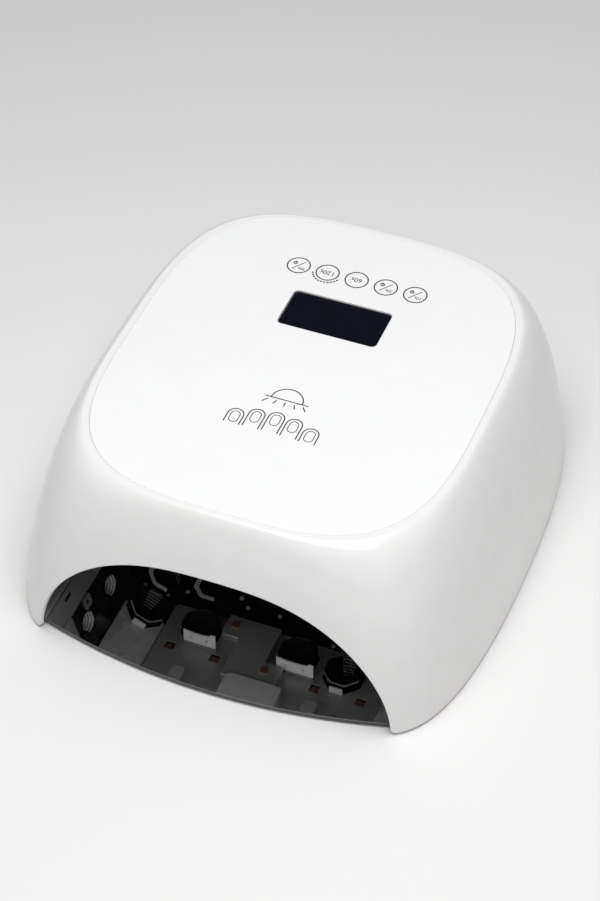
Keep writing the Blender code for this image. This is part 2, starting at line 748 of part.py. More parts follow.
def make_cup(name, frame, mouth_radius, throat_radius, low, high):
    """An eight-sided tapering tube, open at its mouth and its throat."""
    shape = bmesh.new()
    place = Matrix.Translation((0.0, 0.0, (low + high) / 2)) @ Matrix.Rotation(math.pi / 8, 4, "Z")
    bmesh.ops.create_cone(shape, cap_ends=False, segments=8, radius1=mouth_radius,
                          radius2=throat_radius, depth=high - low, matrix=place)
    mesh = bpy.data.meshes.new(name)
    shape.to_mesh(mesh)
    shape.free()
    cup = add_part(name, mesh, "chrome")
    wall = cup.modifiers.new("Wall", "SOLIDIFY")
    wall.thickness = CUP_WALL
    wall.offset = -1.0
    wall.use_even_offset = True
    cup.matrix_world = frame


def make_light(name, frame, rise):
    """A light source on its own small board, just behind a cup's throat."""
    board_low = rise + GAP
    half = STAR_BOARD_HALF_SIZE
    board = box_mesh((-half, -half, board_low), (half, half, board_low + STAR_BOARD_THICKNESS))
    light = add_part(name, placed(board, frame), "chip")
    chip = box_mesh((-CHIP_HALF_SIZE, -CHIP_HALF_SIZE, board_low - CHIP_HEIGHT),
                    (CHIP_HALF_SIZE, CHIP_HALF_SIZE, board_low + JOIN))
    apply_tool(light, placed(chip, frame), "UNION")


def make_cups_and_lights():
    for name, frame in large_cup_frames().items():
        make_cup(name, frame, CUP_MOUTH_RADIUS, CUP_THROAT_RADIUS, -CUP_DROP, CUP_RISE)
        make_light(name.replace("cup", "led"), frame, CUP_RISE)
    for name, frame in small_cup_frames().items():
        make_cup(name, frame, SIDE_CUP_MOUTH_RADIUS, SIDE_CUP_THROAT_RADIUS, 0.0, SIDE_CUP_RISE)
        make_light(name.replace("cup", "led"), frame, SIDE_CUP_RISE)


def make_reflector_liner():
    front = CENTRE_Y - BASE_HALF_DEPTH
    shape = bmesh.new()
    loops = []
    for y in (front, CHAMBER_BACK_Y):
        loops.append([shape.verts.new((x, y, z)) for x, z in chamber_section()])
    for i in range(len(loops[0]) - 1):
        shape.faces.new((loops[0][i], loops[0][i + 1], loops[1][i + 1], loops[1][i]))
    shape.faces.new(loops[1])
    bmesh.ops.recalc_face_normals(shape, faces=shape.faces)
    mesh = bpy.data.meshes.new("reflector_liner")
    shape.to_mesh(mesh)
    shape.free()
    liner = add_part("reflector_liner", mesh, "liner")
    wall = liner.modifiers.new("Wall", "SOLIDIFY")
    wall.thickness = LINER_THICKNESS
    wall.offset = 1.0
    wall.use_even_offset = True
    heights = reversed(wall_heights(SHELL_BOTTOM, CEILING))
    room = [wall_ring(z, WALL + GAP, CEILING) for z in heights]
    apply_tool(liner, loft_mesh(room), "INTERSECT")
    low = -JOIN
    high = LINER_THICKNESS + JOIN
    hole_radius = cup_radius_at(0.0) + GAP / math.cos(math.pi / 8)
    holes = [placed(octagon_mesh(hole_radius, low, high), frame)
             for frame in large_cup_frames().values()]
    hole_radius = SIDE_CUP_MOUTH_RADIUS + GAP / math.cos(math.pi / 8)
    holes += [placed(octagon_mesh(hole_radius, low, high), frame)
              for frame in small_cup_frames().values()]
    roof = Matrix.Translation((0.0, 0.0, CHAMBER_ROOF))
    half = FRONT_WINDOW_HALF_SIZE
    for x in FRONT_ROW_XS:
        window = box_mesh((x - half, FRONT_ROW_Y - half, low), (x + half, FRONT_ROW_Y + half, high))
        holes.append(placed(window, roof))
    for x in (-SENSOR_SPACING / 2, SENSOR_SPACING / 2):
        holes.append(placed(disc_mesh(x, SENSOR_Y, SENSOR_RADIUS + GAP, low, high), roof))
    for x, y in post_places():
        holes.append(placed(disc_mesh(x, y, SCREW_RADIUS + SCREW_CLEARANCE, low, high), roof))
    apply_tool(liner, together(holes), "DIFFERENCE")


def panel_outline():
    """Outline of the low panel, which stays clear of the roof cups on both sides."""
    cup_flat = CUP_MOUTH_RADIUS * math.cos(math.pi / 8)
    (left_cup_x, _), (right_cup_x, right_cup_y), _ = ROOF_CUP_PLACES
    left = left_cup_x + cup_flat + PANEL_LEFT_CUP_GAP
    notch_x = right_cup_x - cup_flat - PANEL_RIGHT_CUP_GAP
    notch_y = right_cup_y - cup_flat - PANEL_RIGHT_CUP_GAP
    return [(left, PANEL_BACK_Y), (notch_x, PANEL_BACK_Y), (notch_x, notch_y),
            (PANEL_RIGHT_X, notch_y), (PANEL_RIGHT_X, PANEL_FRONT_Y),
            (PANEL_STEP_X, PANEL_FRONT_Y), (PANEL_STEP_X, PANEL_STEP_Y), (left, PANEL_STEP_Y)]


def make_roof_lights():
    edge = ((-LED_BOARD_HALF_WIDTH, FRONT_ROW_Y - LED_BOARD_HALF_DEPTH, LED_BOARD_BOTTOM),
            (LED_BOARD_HALF_WIDTH, FRONT_ROW_Y + LED_BOARD_HALF_DEPTH,
             LED_BOARD_BOTTOM + LED_BOARD_THICKNESS))
    board = add_part("front_led_board", box_mesh(*edge), "board")
    half = CHIP_HALF_SIZE
    chips = [box_mesh((x - half, FRONT_ROW_Y - half, CHAMBER_ROOF + GAP),
                      (x + half, FRONT_ROW_Y + half, LED_BOARD_BOTTOM + JOIN))
             for x in FRONT_ROW_XS]
    apply_tool(board, together(chips), "UNION")
    panel_high = CHAMBER_ROOF - GAP
    panel_low = panel_high - PANEL_DEPTH
    add_part("centre_panel", flat_mesh([panel_outline()], panel_low, panel_high), "liner")
    for number, (x, y) in enumerate(PANEL_CHIP_PLACES, start=1):
        chip = box_mesh((x - half, y - half, panel_low - GAP - PANEL_CHIP_HEIGHT),
                        (x + half, y + half, panel_low - GAP))
        add_part(f"panel_led_{number}", chip, "chip")


def make_hand_sensor():
    low = (-SENSOR_BOARD_HALF_WIDTH, SENSOR_Y - SENSOR_BOARD_HALF_DEPTH, LED_BOARD_BOTTOM)
    high = (SENSOR_BOARD_HALF_WIDTH, SENSOR_Y + SENSOR_BOARD_HALF_DEPTH,
            LED_BOARD_BOTTOM + LED_BOARD_THICKNESS)
    sensor = add_part("hand_sensor", box_mesh(low, high), "board")
    eyes = [disc_mesh(x, SENSOR_Y, SENSOR_RADIUS, CHAMBER_ROOF - SENSOR_DROP,
                      LED_BOARD_BOTTOM + JOIN) for x in (-SENSOR_SPACING / 2, SENSOR_SPACING / 2)]
    apply_tool(sensor, together(eyes), "UNION")


def socket_face_y():
    """Where the shell's rear wall is at the power socket's height."""
    sizes = wall_sizes(SOCKET_Z, WALL / 2, LAMP_HEIGHT)
    half_width, half_depth, width_power, depth_power, centre_y = sizes
    share = 1 - (SOCKET_X / half_width) ** width_power
    return centre_y + half_depth * share ** (1 / depth_power)


def make_dc_socket():
    pin_top = -SOCKET_PIN_SINK
    floor = -SOCKET_BORE_DEPTH
    profile = [(0.0, pin_top), (SOCKET_PIN_RADIUS, pin_top),
               (SOCKET_PIN_RADIUS, floor), (SOCKET_BORE_RADIUS, floor),
               (SOCKET_BORE_RADIUS, 0.0), (SOCKET_RADIUS, 0.0),
               (SOCKET_RADIUS, -SOCKET_LENGTH), (0.0, -SOCKET_LENGTH)]
    shape = bmesh.new()
    points = [shape.verts.new((x, 0.0, z)) for x, z in profile]
    for first, second in zip(points, points[1:]):
        shape.edges.new((first, second))
    mesh = bpy.data.meshes.new("dc_socket")
    shape.to_mesh(mesh)
    shape.free()
    socket = add_part("dc_socket", mesh, "black_plastic")
    turn = socket.modifiers.new("Turn", "SCREW")
    turn.steps = SHAFT_SIDES
    turn.render_steps = SHAFT_SIDES
    turn.use_merge_vertices = True
    turn.merge_threshold = 0.00001
    turn.use_smooth_shade = False
    facing = Matrix.Rotation(-math.pi / 2, 4, "X")
    socket.matrix_world = Matrix.Translation((SOCKET_X, socket_face_y(), SOCKET_Z)) @ facing


def power_board_y():
    """Middle of the power board, front to back."""
    return (POWER_BOARD_FRONT_Y + POWER_BOARD_BACK_Y) / 2


def make_power_board():
    top = POWER_BOARD_BOTTOM + BOARD_THICKNESS
    low = (-POWER_BOARD_HALF_WIDTH, POWER_BOARD_FRONT_Y, POWER_BOARD_BOTTOM)
    high = (POWER_BOARD_HALF_WIDTH, POWER_BOARD_BACK_Y, top)
    board = add_part("power_board", box_mesh(low, high), "board")
    part_top = top + POWER_PART_HEIGHT
    middle = power_board_y()
    parts = [disc_mesh(POWER_CAPACITOR_X, middle, POWER_CAPACITOR_RADIUS, top - JOIN, part_top)]
    for x, half in ((POWER_COIL_X, POWER_COIL_HALF_SIZE), (POWER_PLUG_X, POWER_PLUG_HALF_SIZE)):
        parts.append(box_mesh((x - half, middle - half, top - JOIN),
                              (x + half, middle + half, part_top)))
    apply_tool(board, together(parts), "UNION")


def make_leads():
    edge = POWER_BOARD_HALF_WIDTH + GAP
    middle = power_board_y()
    height = POWER_BOARD_BOTTOM + BOARD_THICKNESS / 2
    back = socket_face_y() - SOCKET_LENGTH - GAP
    lead = [(SOCKET_X, back, SOCKET_Z), (SOCKET_X, back - LEAD_STEP, SOCKET_Z),
            (SOCKET_X - LEAD_STEP, back - 2 * LEAD_STEP, SOCKET_Z - LEAD_STEP / 2),
            (edge + 2 * LEAD_STEP, middle, height + LEAD_STEP / 2),
            (edge + LEAD_STEP, middle, height), (edge, middle, height)]
    add_part("power_lead", tube_mesh(lead, LEAD_RADIUS), "lead")
    start = POWER_BOARD_BOTTOM + BOARD_THICKNESS + GAP
    board_back = BOARD_BACK_Y + GAP
    height = BOARD_TOP - BOARD_THICKNESS / 2
    bend = HARNESS_Y - board_back
    harness = [(HARNESS_X, HARNESS_Y, start), (HARNESS_X, HARNESS_Y, height - bend)]
    for step in range(1, CORNER_STEPS + 1):
        angle = math.pi / 2 * step / CORNER_STEPS
        harness.append((HARNESS_X, board_back + bend * math.cos(angle),
                        height - bend + bend * math.sin(angle)))
    add_part("main_harness", tube_mesh(harness, HARNESS_RADIUS), "lead")


def main():
    make_outer_shell()
    make_face_plate()
    make_display()
    make_control_board()
    make_touch_springs()
    make_screws()
    make_mirror_tray()
    make_base_frame()
    make_feet_and_magnets()
    make_reflector_liner()
    make_cups_and_lights()
    make_roof_lights()
    make_hand_sensor()
    make_dc_socket()
    make_power_board()
    make_leads()


main()
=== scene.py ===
"""Looks of the table-top curing lamp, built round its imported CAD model.

Lengths are in metres in the model's own frame: X across, the open front at -Y, Z up.
"""

from contextlib import contextmanager
from math import atan2, copysign, cos, degrees, pi, radians, sin, tau

import bmesh
import bpy
import numpy as np
from mathutils import Matrix, Vector


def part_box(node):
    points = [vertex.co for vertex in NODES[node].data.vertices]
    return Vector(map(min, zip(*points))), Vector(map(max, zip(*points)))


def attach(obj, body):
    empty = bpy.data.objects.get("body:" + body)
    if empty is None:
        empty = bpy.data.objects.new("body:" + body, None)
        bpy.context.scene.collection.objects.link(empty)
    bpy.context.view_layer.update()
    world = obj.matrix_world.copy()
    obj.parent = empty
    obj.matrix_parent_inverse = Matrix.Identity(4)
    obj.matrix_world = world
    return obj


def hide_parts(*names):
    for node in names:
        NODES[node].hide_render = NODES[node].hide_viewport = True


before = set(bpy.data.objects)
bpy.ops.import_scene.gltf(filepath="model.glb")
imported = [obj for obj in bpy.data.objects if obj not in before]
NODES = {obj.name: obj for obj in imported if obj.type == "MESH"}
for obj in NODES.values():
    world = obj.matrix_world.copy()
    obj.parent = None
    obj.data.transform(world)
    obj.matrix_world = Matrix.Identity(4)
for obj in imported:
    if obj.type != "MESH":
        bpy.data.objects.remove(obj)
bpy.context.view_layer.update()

LAMP = "lamp"
TRAY = "tray"
SIDES = ((-1, "left"), (1, "right"))


def extent(node):
    """Low and high corners of a CAD node."""
    return tuple(Vector(corner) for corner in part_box(node))


def round_extent(node):
    """Middle, radius across X and height of a round CAD node."""
    low, high = extent(node)
    return (low + high) / 2, (high.x - low.x) / 2, high.z - low.z


def circle(count):
    """Angles at equal steps round a full turn."""
    return np.linspace(0, tau, count, endpoint=False)


def at(x=0.0, y=0.0, z=0.0):
    """A move to a place."""
    return Matrix.Translation((x, y, z))


def turn_about(axis, angle=pi / 2):
    """A turn about an axis, a right angle unless another is given."""
    return Matrix.Rotation(angle, 4, axis)


# ---------------------------------------------------------------- sizes

SHELL_LOW, SHELL_HIGH = extent("outer_shell")
PLATE_LOW, PLATE_HIGH = extent("face_plate")
WINDOW_LOW, WINDOW_HIGH = extent("display_window")
LINER_LOW = extent("reflector_liner")[0]
TRAY_LOW, TRAY_HIGH = extent("mirror_tray")

LAMP_HEIGHT = SHELL_HIGH.z
SHELL_BOTTOM = SHELL_LOW.z
BASE_HALF_WIDTH = SHELL_HIGH.x
BASE_HALF_DEPTH = 0.1173
CENTRE_Y = SHELL_HIGH.y - BASE_HALF_DEPTH
BASE_POWERS = (8.77, 2.3)
RIM_HALF_WIDTH = 0.088
RIM_HALF_DEPTH = 0.1025
RIM_POWERS = (3.27, 3.465)
RIM_SET_BACK = 0.0042
RIM_BAND = 0.0028
WALL_CURVE = 1.518
WALL = 0.0024
RECESS_FLOOR = PLATE_LOW.z - 0.0003
CEILING = RECESS_FLOOR - WALL
CUT_PAST = 0.001        # how far a cutting tool reaches past what it cuts
PART_GAP = 0.0003       # space left between neighbouring pieces

ARCH_HALF_WIDTH = 0.0857
ARCH_HEIGHT = 0.0634
ARCH_POWERS = (2.82, 1.79)
ARCH_FOOT_ROUND = 0.003
EDGE_ROUND = 0.0006

KEY_PITCH = 0.0147
KEY_RADIUS = 0.0058
KEY_Y = 0.0704
KEY_COUNT = 5

CHAMBER_ROOF = 0.07
CHAMBER_BACK_Y = 0.078
LINER_THICKNESS = 0.0016
BOARD_THICKNESS = 0.0016
POST_X = 0.052
POST_Y = -0.078
PANEL_OUTLINE = ((-0.0285, -0.023), (-0.0015, -0.023), (-0.0015, -0.0455), (0.0085, -0.0455),
                 (0.0085, -0.06), (-0.019, -0.06), (-0.019, -0.036), (-0.0285, -0.036))
TRAY_LIP = 0.0028
TRAY_BOW = 0.0122
SECTION = ((0.0585, 0.07), (0.08, 0.06), (0.0875, 0.03), (0.0875, LINER_LOW.z))

# ---------------------------------------------------------------- materials


def surface(name, dark, light, grain, smoothest, roughest, bump=0.0, bump_grain=1500, metallic=0.0,
            detail=4.0, stretch=(1.0, 1.0, 1.0), **sockets):
    """A finish whose colour and roughness drift between two values, with a fine relief.

    A tone given as one number is a neutral grey.
    """
    material = bpy.data.materials.new(name)
    material.use_nodes = True
    tree = material.node_tree
    shader = tree.nodes["Principled BSDF"]
    shader.inputs["Metallic"].default_value = metallic
    for socket, value in sockets.items():
        shader.inputs[socket.replace("_", " ").title().replace("Ior", "IOR")].default_value = value

    def node(kind, source, output, socket, **values):
        """A node with the given input values, fed from another node."""
        made = tree.nodes.new(kind)
        for key, value in values.items():
            made.inputs[key.replace("_", " ")].default_value = value
        if source:
            tree.links.new(source.outputs[output], made.inputs[socket])
        return made

    place = node("ShaderNodeTexCoord", None, None, None)
    scale = node("ShaderNodeMapping", place, "Object", "Vector", Scale=stretch)
    noise = node("ShaderNodeTexNoise", scale, "Vector", "Vector", Scale=grain, Detail=detail)
    ramp = node("ShaderNodeValToRGB", noise, "Fac", "Fac")
    for element, position, tone in zip(ramp.color_ramp.elements, (0.35, 0.65), (dark, light)):
        element.position = position
        element.color = (*(tone if isinstance(tone, tuple) else grey(tone)), 1.0)
    tree.links.new(ramp.outputs["Color"], shader.inputs["Base Color"])
    spread = node("ShaderNodeMapRange", noise, "Fac", "Value", To_Min=smoothest, To_Max=roughest)
    tree.links.new(spread.outputs["Result"], shader.inputs["Roughness"])
    if bump:
        fine = node("ShaderNodeTexNoise", scale, "Vector", "Vector", Scale=bump_grain, Detail=2.0)
        relief = node("ShaderNodeBump", fine, "Fac", "Height", Strength=1.0, Distance=bump)
        tree.links.new(relief.outputs["Normal"], shader.inputs["Normal"])
    return material


def grey(value, tint=0.0):
    """A grey, a little bluer with a positive tint and warmer with a negative one."""
    return (value * (1 - tint), value * (1 - tint / 2), value)


SHEET = dict(metallic=0.2, bump=0.000004, bump_grain=500)        # drawn sheet metal

SHELL_WHITE = surface("shell_white", grey(0.84, -0.015), grey(0.86, -0.015), 90, 0.16, 0.22,
                      bump=0.000004, bump_grain=420)
PLATE_WHITE = surface("plate_white", grey(0.9, 0.008), grey(0.915, 0.008), 60, 0.1, 0.14,
                      bump=0.000002, bump_grain=300)
PRINT_GREY = surface("print_grey", grey(0.045, 0.02), grey(0.07, 0.02), 2500, 0.35, 0.5)
DISPLAY_BLACK = surface("display_black", (0.002, 0.002, 0.006), (0.003, 0.003, 0.009), 120, 0.08, 0.12,
                        specular_ior_level=0.12)
FRAME_BLACK = surface("frame_black", 0.018, 0.028, 500, 0.42, 0.55, bump=0.00002, bump_grain=2600)
MODULE_BLACK = surface("module_black", 0.02, 0.03, 700, 0.35, 0.5, bump=0.00001)
TRAY_MIRROR = surface("tray_mirror", 0.84, 0.86, 25, 0.015, 0.035, metallic=1.0)
TRAY_EDGE = surface("tray_edge", 0.02, 0.05, 1800, 0.25, 0.4, stretch=(1.0, 1.0, 8.0))
# Painted highlight on the upper rounding of the tray's edge.
TRAY_PAINTED_HIGHLIGHT = surface("tray_painted_highlight", 0.1, 0.18, 1800, 0.3, 0.45)
# Near black liner: painted shade of the chamber's inside, on a metallised sheet finish.
LINER_PAINTED_SHADE = surface("liner_painted_shade", 0.012, 0.018, 60, 0.16, 0.24, **SHEET)
PANEL_METAL = surface("panel_metal", 0.28, 0.31, 60, 0.25, 0.35, **SHEET)
# On the reflector cups this near black is painted shade; it also colours the side plugs and the lights'
# bodies.
CUP_DARK = surface("cup_dark", 0.01, 0.016, 200, 0.2, 0.3)
# Painted highlight for the cups' facets that face the light.
CUP_PAINTED_HIGHLIGHT = surface("cup_lit", 0.86, 0.92, 200, 0.15, 0.25, metallic=0.1)
# Painted highlight on the ribs of the cups' facets that face the light.
RIB_PAINTED_HIGHLIGHT = surface("rib_painted_highlight", 0.22, 0.3, 200, 0.2, 0.3, metallic=0.2)
SLOPE_METAL = surface("slope_metal", 0.46, 0.49, 60, 0.25, 0.3, metallic=0.2)
SIDE_METAL = surface("side_metal", 0.31, 0.35, 60, 0.25, 0.35, **SHEET)
# Painted highlight on the cups' lips, on the facets that face the light.
LIP_PAINTED_HIGHLIGHT = surface("lip_painted_highlight", 0.62, 0.74, 400, 0.2, 0.3, metallic=0.3)
LED_SMOKE = surface("led_smoke", (0.03, 0.022, 0.018), (0.045, 0.033, 0.026), 900, 0.2, 0.3)
CLIP_GREY = surface("clip_grey", 0.27, 0.3, 400, 0.35, 0.45, bump=0.00001)
CLIP_WHITE = surface("clip_white", 0.72, 0.8, 300, 0.25, 0.35, bump=0.000005)
WHITE_PLATE = surface("white_plate", 0.86, 0.92, 300, 0.25, 0.35, bump=0.000005)
EDGE_METAL = surface("edge_metal", 0.62, 0.7, 400, 0.25, 0.35, metallic=0.2)
COVER_GREY = surface("cover_grey", 0.42, 0.46, 400, 0.35, 0.45, bump=0.00001)
LED_BROWN = surface("led_brown", (0.2, 0.15, 0.12), (0.26, 0.19, 0.16), 900, 0.3, 0.4)
FLOOR_WHITE = surface("floor_white", grey(0.86, -0.015), grey(0.87, -0.015), 3, 0.4, 0.5)
LED_AMBER = surface("led_amber", (0.14, 0.07, 0.052), (0.18, 0.088, 0.064), 900, 0.15, 0.25,
                    coat_weight=0.6)
BOARD_GREEN = surface("board_green", (0.01, 0.085, 0.035), (0.018, 0.13, 0.055), 420, 0.3, 0.45,
                      detail=8.0, bump=0.00003, bump_grain=700)
RUBBER_BLACK = surface("rubber_black", 0.02, 0.034, 900, 0.7, 0.85, bump=0.00004, bump_grain=2200)
STEEL = surface("steel", 0.52, 0.64, 600, 0.22, 0.36, metallic=1.0, stretch=(1.0, 1.0, 6.0))
WIRE_RED = surface("wire_red", (0.26, 0.016, 0.014), (0.34, 0.022, 0.018), 500, 0.4, 0.55, bump=0.00001)
WIRE_GREY = surface("wire_grey", 0.1, 0.14, 500, 0.4, 0.55, bump=0.00001)


def paint(node, material):
    """Give a CAD node that stays a finished material."""
    slots = NODES[node].data.materials
    slots.clear()
    slots.append(material)


# ---------------------------------------------------------------- mesh helpers

FLAT = 0.999        # a face whose normal rises this much counts as level


def linked(name, data):
    """A new object in the scene."""
    made = bpy.data.objects.new(name, data)
    bpy.context.scene.collection.objects.link(made)
    return made


def add_piece(name, mesh, material, body=LAMP, replaced=()):
    """Link a mesh as one piece that rides on a body; without a material it keeps its own."""
    if material:
        mesh.materials.clear()
        mesh.materials.append(material)
    piece = linked(name, mesh)
    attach(piece, body)
    if replaced:
        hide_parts(*replaced)
    return piece


@contextmanager
def editing(mesh):
    """The mesh opened for edits, which are written back at the end."""
    shape = bmesh.new()
    shape.from_mesh(mesh)
    yield shape
    shape.to_mesh(mesh)
    shape.free()


def mesh_from(points, faces):
    """A mesh from points and faces, facing outwards."""
    mesh = bpy.data.meshes.new("skin")
    mesh.from_pydata([tuple(point) for point in points], [], faces)
    mesh.validate()
    with editing(mesh) as shape:
        bmesh.ops.recalc_face_normals(shape, faces=shape.faces)
    return mesh


def smooth(mesh, angle=30.0):
    """Shade smooth except at edges sharper than the angle, in degrees."""
    mesh.shade_smooth()
    mesh.set_sharp_from_angle(angle=radians(angle))
    return mesh


def skin(rings, closed=False):
    """A mesh through rings of equal point count, capped, or closed from the last to the first."""
    count = len(rings[0])
    points = np.concatenate([np.asarray(ring, float) for ring in rings])
    faces = []
    for row in range(len(rings) if closed else len(rings) - 1):
        low = row * count
        high = (row + 1) % len(rings) * count
        for i in range(count):
            j = (i + 1) % count
            faces.append((low + i, low + j, high + j, high + i))
    if not closed:
        faces += [tuple(reversed(range(count))), tuple(range(len(points) - count, len(points)))]
    return mesh_from(points, faces)


def baked(obj):
    """The object's final mesh; the object is thrown away."""
    bpy.context.view_layer.update()
    evaluated = obj.evaluated_get(bpy.context.evaluated_depsgraph_get())
    mesh = bpy.data.meshes.new_from_object(evaluated)
    mesh.transform(obj.matrix_world)
    bpy.data.objects.remove(obj, do_unlink=True)
    with editing(mesh) as shape:
        bmesh.ops.remove_doubles(shape, verts=shape.verts, dist=1e-7)
    return mesh


def new_curve(name, kind="CURVE", lines=(), closed=False, **settings):
    """A curve with the given settings, through lines of points."""
    curve = bpy.data.curves.new(name, kind)
    for key, value in settings.items():
        setattr(curve, key, value)
    for line in lines:
        spline = curve.splines.new("POLY")
        spline.points.add(len(line) - 1)
        spline.use_cyclic_u = closed
        for point, place in zip(spline.points, line):
            point.co = (*place, 1.0)
    return linked(name, curve)


def slab(outlines, low, high, round_edge=0.0, steps=3):
    """A flat piece between two heights, with rounded edges; outlines after the first are holes."""
    holder = new_curve("slab", lines=[[(x, y, 0.0) for x, y in line] for line in outlines],
                       closed=True, dimensions="2D", fill_mode="BOTH", offset=-round_edge,
                       extrude=(high - low) / 2 - round_edge, bevel_depth=round_edge,
                       bevel_resolution=steps)
    holder.location.z = (low + high) / 2
    mesh = smooth(baked(holder))
    for face in mesh.polygons:
        face.use_smooth = abs(face.normal.z) < FLAT
    return mesh


def box(low, high, round_edge=0.0):
    """A box between two corners with rounded edges."""
    low, high = Vector(low), Vector(high)
    place = at(*(low + high) / 2) @ Matrix.Diagonal((*(high - low), 1.0))
    mesh = bpy.data.meshes.new("box")
    with editing(mesh) as shape:
        bmesh.ops.create_cube(shape, size=1.0, matrix=place)
        if round_edge:
            bmesh.ops.bevel(shape, geom=list(shape.edges), offset=round_edge, segments=3,
                            affect="EDGES", profile=0.5)
    return smooth(mesh)


def turned(profile, sides=48):
    """A solid of revolution about Z from (radius, height) points; radius 0 closes an end."""
    angles = circle(sides)
    points, faces, loops = [], [], []
    for radius, height in profile:
        if radius < 1e-9:
            loops.append([len(points)])
            points.append((0.0, 0.0, height))
        else:
            loops.append(list(range(len(points), len(points) + sides)))
            points.extend((radius * cos(a), radius * sin(a), height) for a in angles)
    for lower, upper in zip(loops, loops[1:]):
        for i in range(sides):
            j = (i + 1) % sides
            if len(lower) == 1:
                faces.append((lower[0], upper[j], upper[i]))
            elif len(upper) == 1:
                faces.append((lower[i], lower[j], upper[0]))
            else:
                faces.append((lower[i], lower[j], upper[j], upper[i]))
    return smooth(mesh_from(points, faces))


def moved(mesh, matrix):
    """The mesh after a move."""
    mesh.transform(matrix)
    return mesh


def together(meshes):
    """One mesh that holds all the given ones."""
    result = bpy.data.meshes.new("group")
    with editing(result) as shape:
        for mesh in meshes:
            shape.from_mesh(mesh)
    return result


def combined(mesh, tool, operation):
    """The mesh after a boolean with the tool's solids."""
    target = linked("target", mesh)
    cutter = linked("tool", tool)
    modifier = target.modifiers.new("boolean", "BOOLEAN")
    modifier.operation = operation
    modifier.solver = "EXACT"
    modifier.object = cutter
    result = baked(target)
    bpy.data.objects.remove(cutter, do_unlink=True)
    return result


def cut(mesh, tools):
    """The mesh with the tools' solids taken out of it."""
    return combined(mesh, together(tools), "DIFFERENCE")


def prism(outline, low, high):
    """A straight-sided solid over an outline."""
    return skin([[(x, y, low) for x, y in outline], [(x, y, high) for x, y in outline]])


def polygon(radius, sides, turn=0.0, centre=(0.0, 0.0)):
    """Corners of a regular polygon."""
    return [(centre[0] + radius * cos(tau * i / sides + turn),
             centre[1] + radius * sin(tau * i / sides + turn)) for i in range(sides)]


def rounded_rectangle(low, high, corner, steps=8):
    """Outline of a rectangle with round corners."""
    centres = ((high[0] - corner, high[1] - corner), (low[0] + corner, high[1] - corner),
               (low[0] + corner, low[1] + corner), (high[0] - corner, low[1] + corner))
    points = []
    for quarter, (x, y) in enumerate(centres):
        for step in range(steps + 1):
            angle = pi / 2 * (quarter + step / steps)
            points.append((x + corner * cos(angle), y + corner * sin(angle)))
    return points


def rectangle_at(x, y, half_x, half_y, corner, steps=8):
    """Outline of a rectangle with round corners, from its middle and half sizes."""
    return rounded_rectangle((x - half_x, y - half_y), (x + half_x, y + half_y), corner, steps)


def bend(before, corner, after, radius, steps):
    """Points of a curve that rounds off a corner between two neighbours."""
    start = corner + unit(before - corner) * radius
    end = corner + unit(after - corner) * radius
    return [(1 - share) ** 2 * start + 2 * share * (1 - share) * corner + share ** 2 * end
            for share in np.linspace(0, 1, steps + 1)]


# ---------------------------------------------------------------- the shell's shape


def wall_sizes(z, inset, height):
    """Half width, half depth, both powers and centre of the wall's section at heights z."""
    spread = (1 - np.minimum(z / height, 1.0) ** WALL_CURVE) ** (1 / WALL_CURVE)

    def between(rim, base):
        return rim + (base - rim) * spread

    return (between(RIM_HALF_WIDTH, BASE_HALF_WIDTH) - inset,
            between(RIM_HALF_DEPTH, BASE_HALF_DEPTH) - inset,
            between(RIM_POWERS[0], BASE_POWERS[0]),
            between(RIM_POWERS[1], BASE_POWERS[1]),
            CENTRE_Y + between(RIM_SET_BACK, 0.0))


def wall_points(angle, z, inset=0.0, height=None):
    """Points of the shell's wall in the given directions and at the given heights."""
    angle, z = np.broadcast_arrays(np.asarray(angle, float), np.asarray(z, float))
    half_width, half_depth, width_power, depth_power, centre_y = wall_sizes(
        z, inset, height or LAMP_HEIGHT)
    across = np.abs(np.cos(angle)) / half_width
    along = np.abs(np.sin(angle)) / half_depth
    near = np.zeros_like(angle)
    far = np.full_like(angle, 2 * (BASE_HALF_WIDTH + BASE_HALF_DEPTH))
    for _ in range(44):
        reach = (near + far) / 2
        outside = (reach * across) ** width_power + (reach * along) ** depth_power > 1
        far = np.where(outside, reach, far)
        near = np.where(outside, near, reach)
    return np.stack([near * np.cos(angle), centre_y + near * np.sin(angle), z], axis=-1)


def front_angle(x, z):
    """Direction, from the section's centre, of the front wall's point at x and z."""
    half_width, half_depth, width_power, depth_power, _ = wall_sizes(z, 0.0, LAMP_HEIGHT)
    depth = half_depth * (1 - np.abs(x / half_width) ** width_power) ** (1 / depth_power)
    return np.arctan2(-depth, x) % tau


def evenly(points, count):
    """The polyline again, with points at equal steps along it."""
    points = np.asarray(points, float)
    steps = np.hypot(*np.diff(points, axis=0).T)
    length = np.concatenate([[0.0], np.cumsum(steps)])
    wanted = np.linspace(0.0, length[-1], count)
    return np.stack([np.interp(wanted, length, points[:, i]) for i in range(2)], axis=-1)


def arch_edge(count):
    """The opening's edge as (x, z) from the left foot to the right one, rounded feet included."""
    half_width = ARCH_HALF_WIDTH + EDGE_ROUND
    height = ARCH_HEIGHT + EDGE_ROUND
    foot_z = SHELL_BOTTOM + ARCH_FOOT_ROUND
    z = foot_z + (height - foot_z) * np.sin(np.linspace(0, pi / 2, 400))
    x = half_width * (1 - (z / height) ** ARCH_POWERS[1]) ** (1 / ARCH_POWERS[0])
    x[-1] = 0.0
    turn = np.linspace(pi / 2, 0, 16)
    reach = ARCH_FOOT_ROUND - EDGE_ROUND
    flare_x = x[0] + reach - reach * np.cos(turn)
    flare_z = foot_z - reach * np.sin(turn)
    right = np.stack([np.concatenate([flare_x, x[1:]]), np.concatenate([flare_z, z[1:]])], axis=-1)
    left = right * (-1, 1)
    return evenly(np.concatenate([left, right[::-1][1:]]), count)


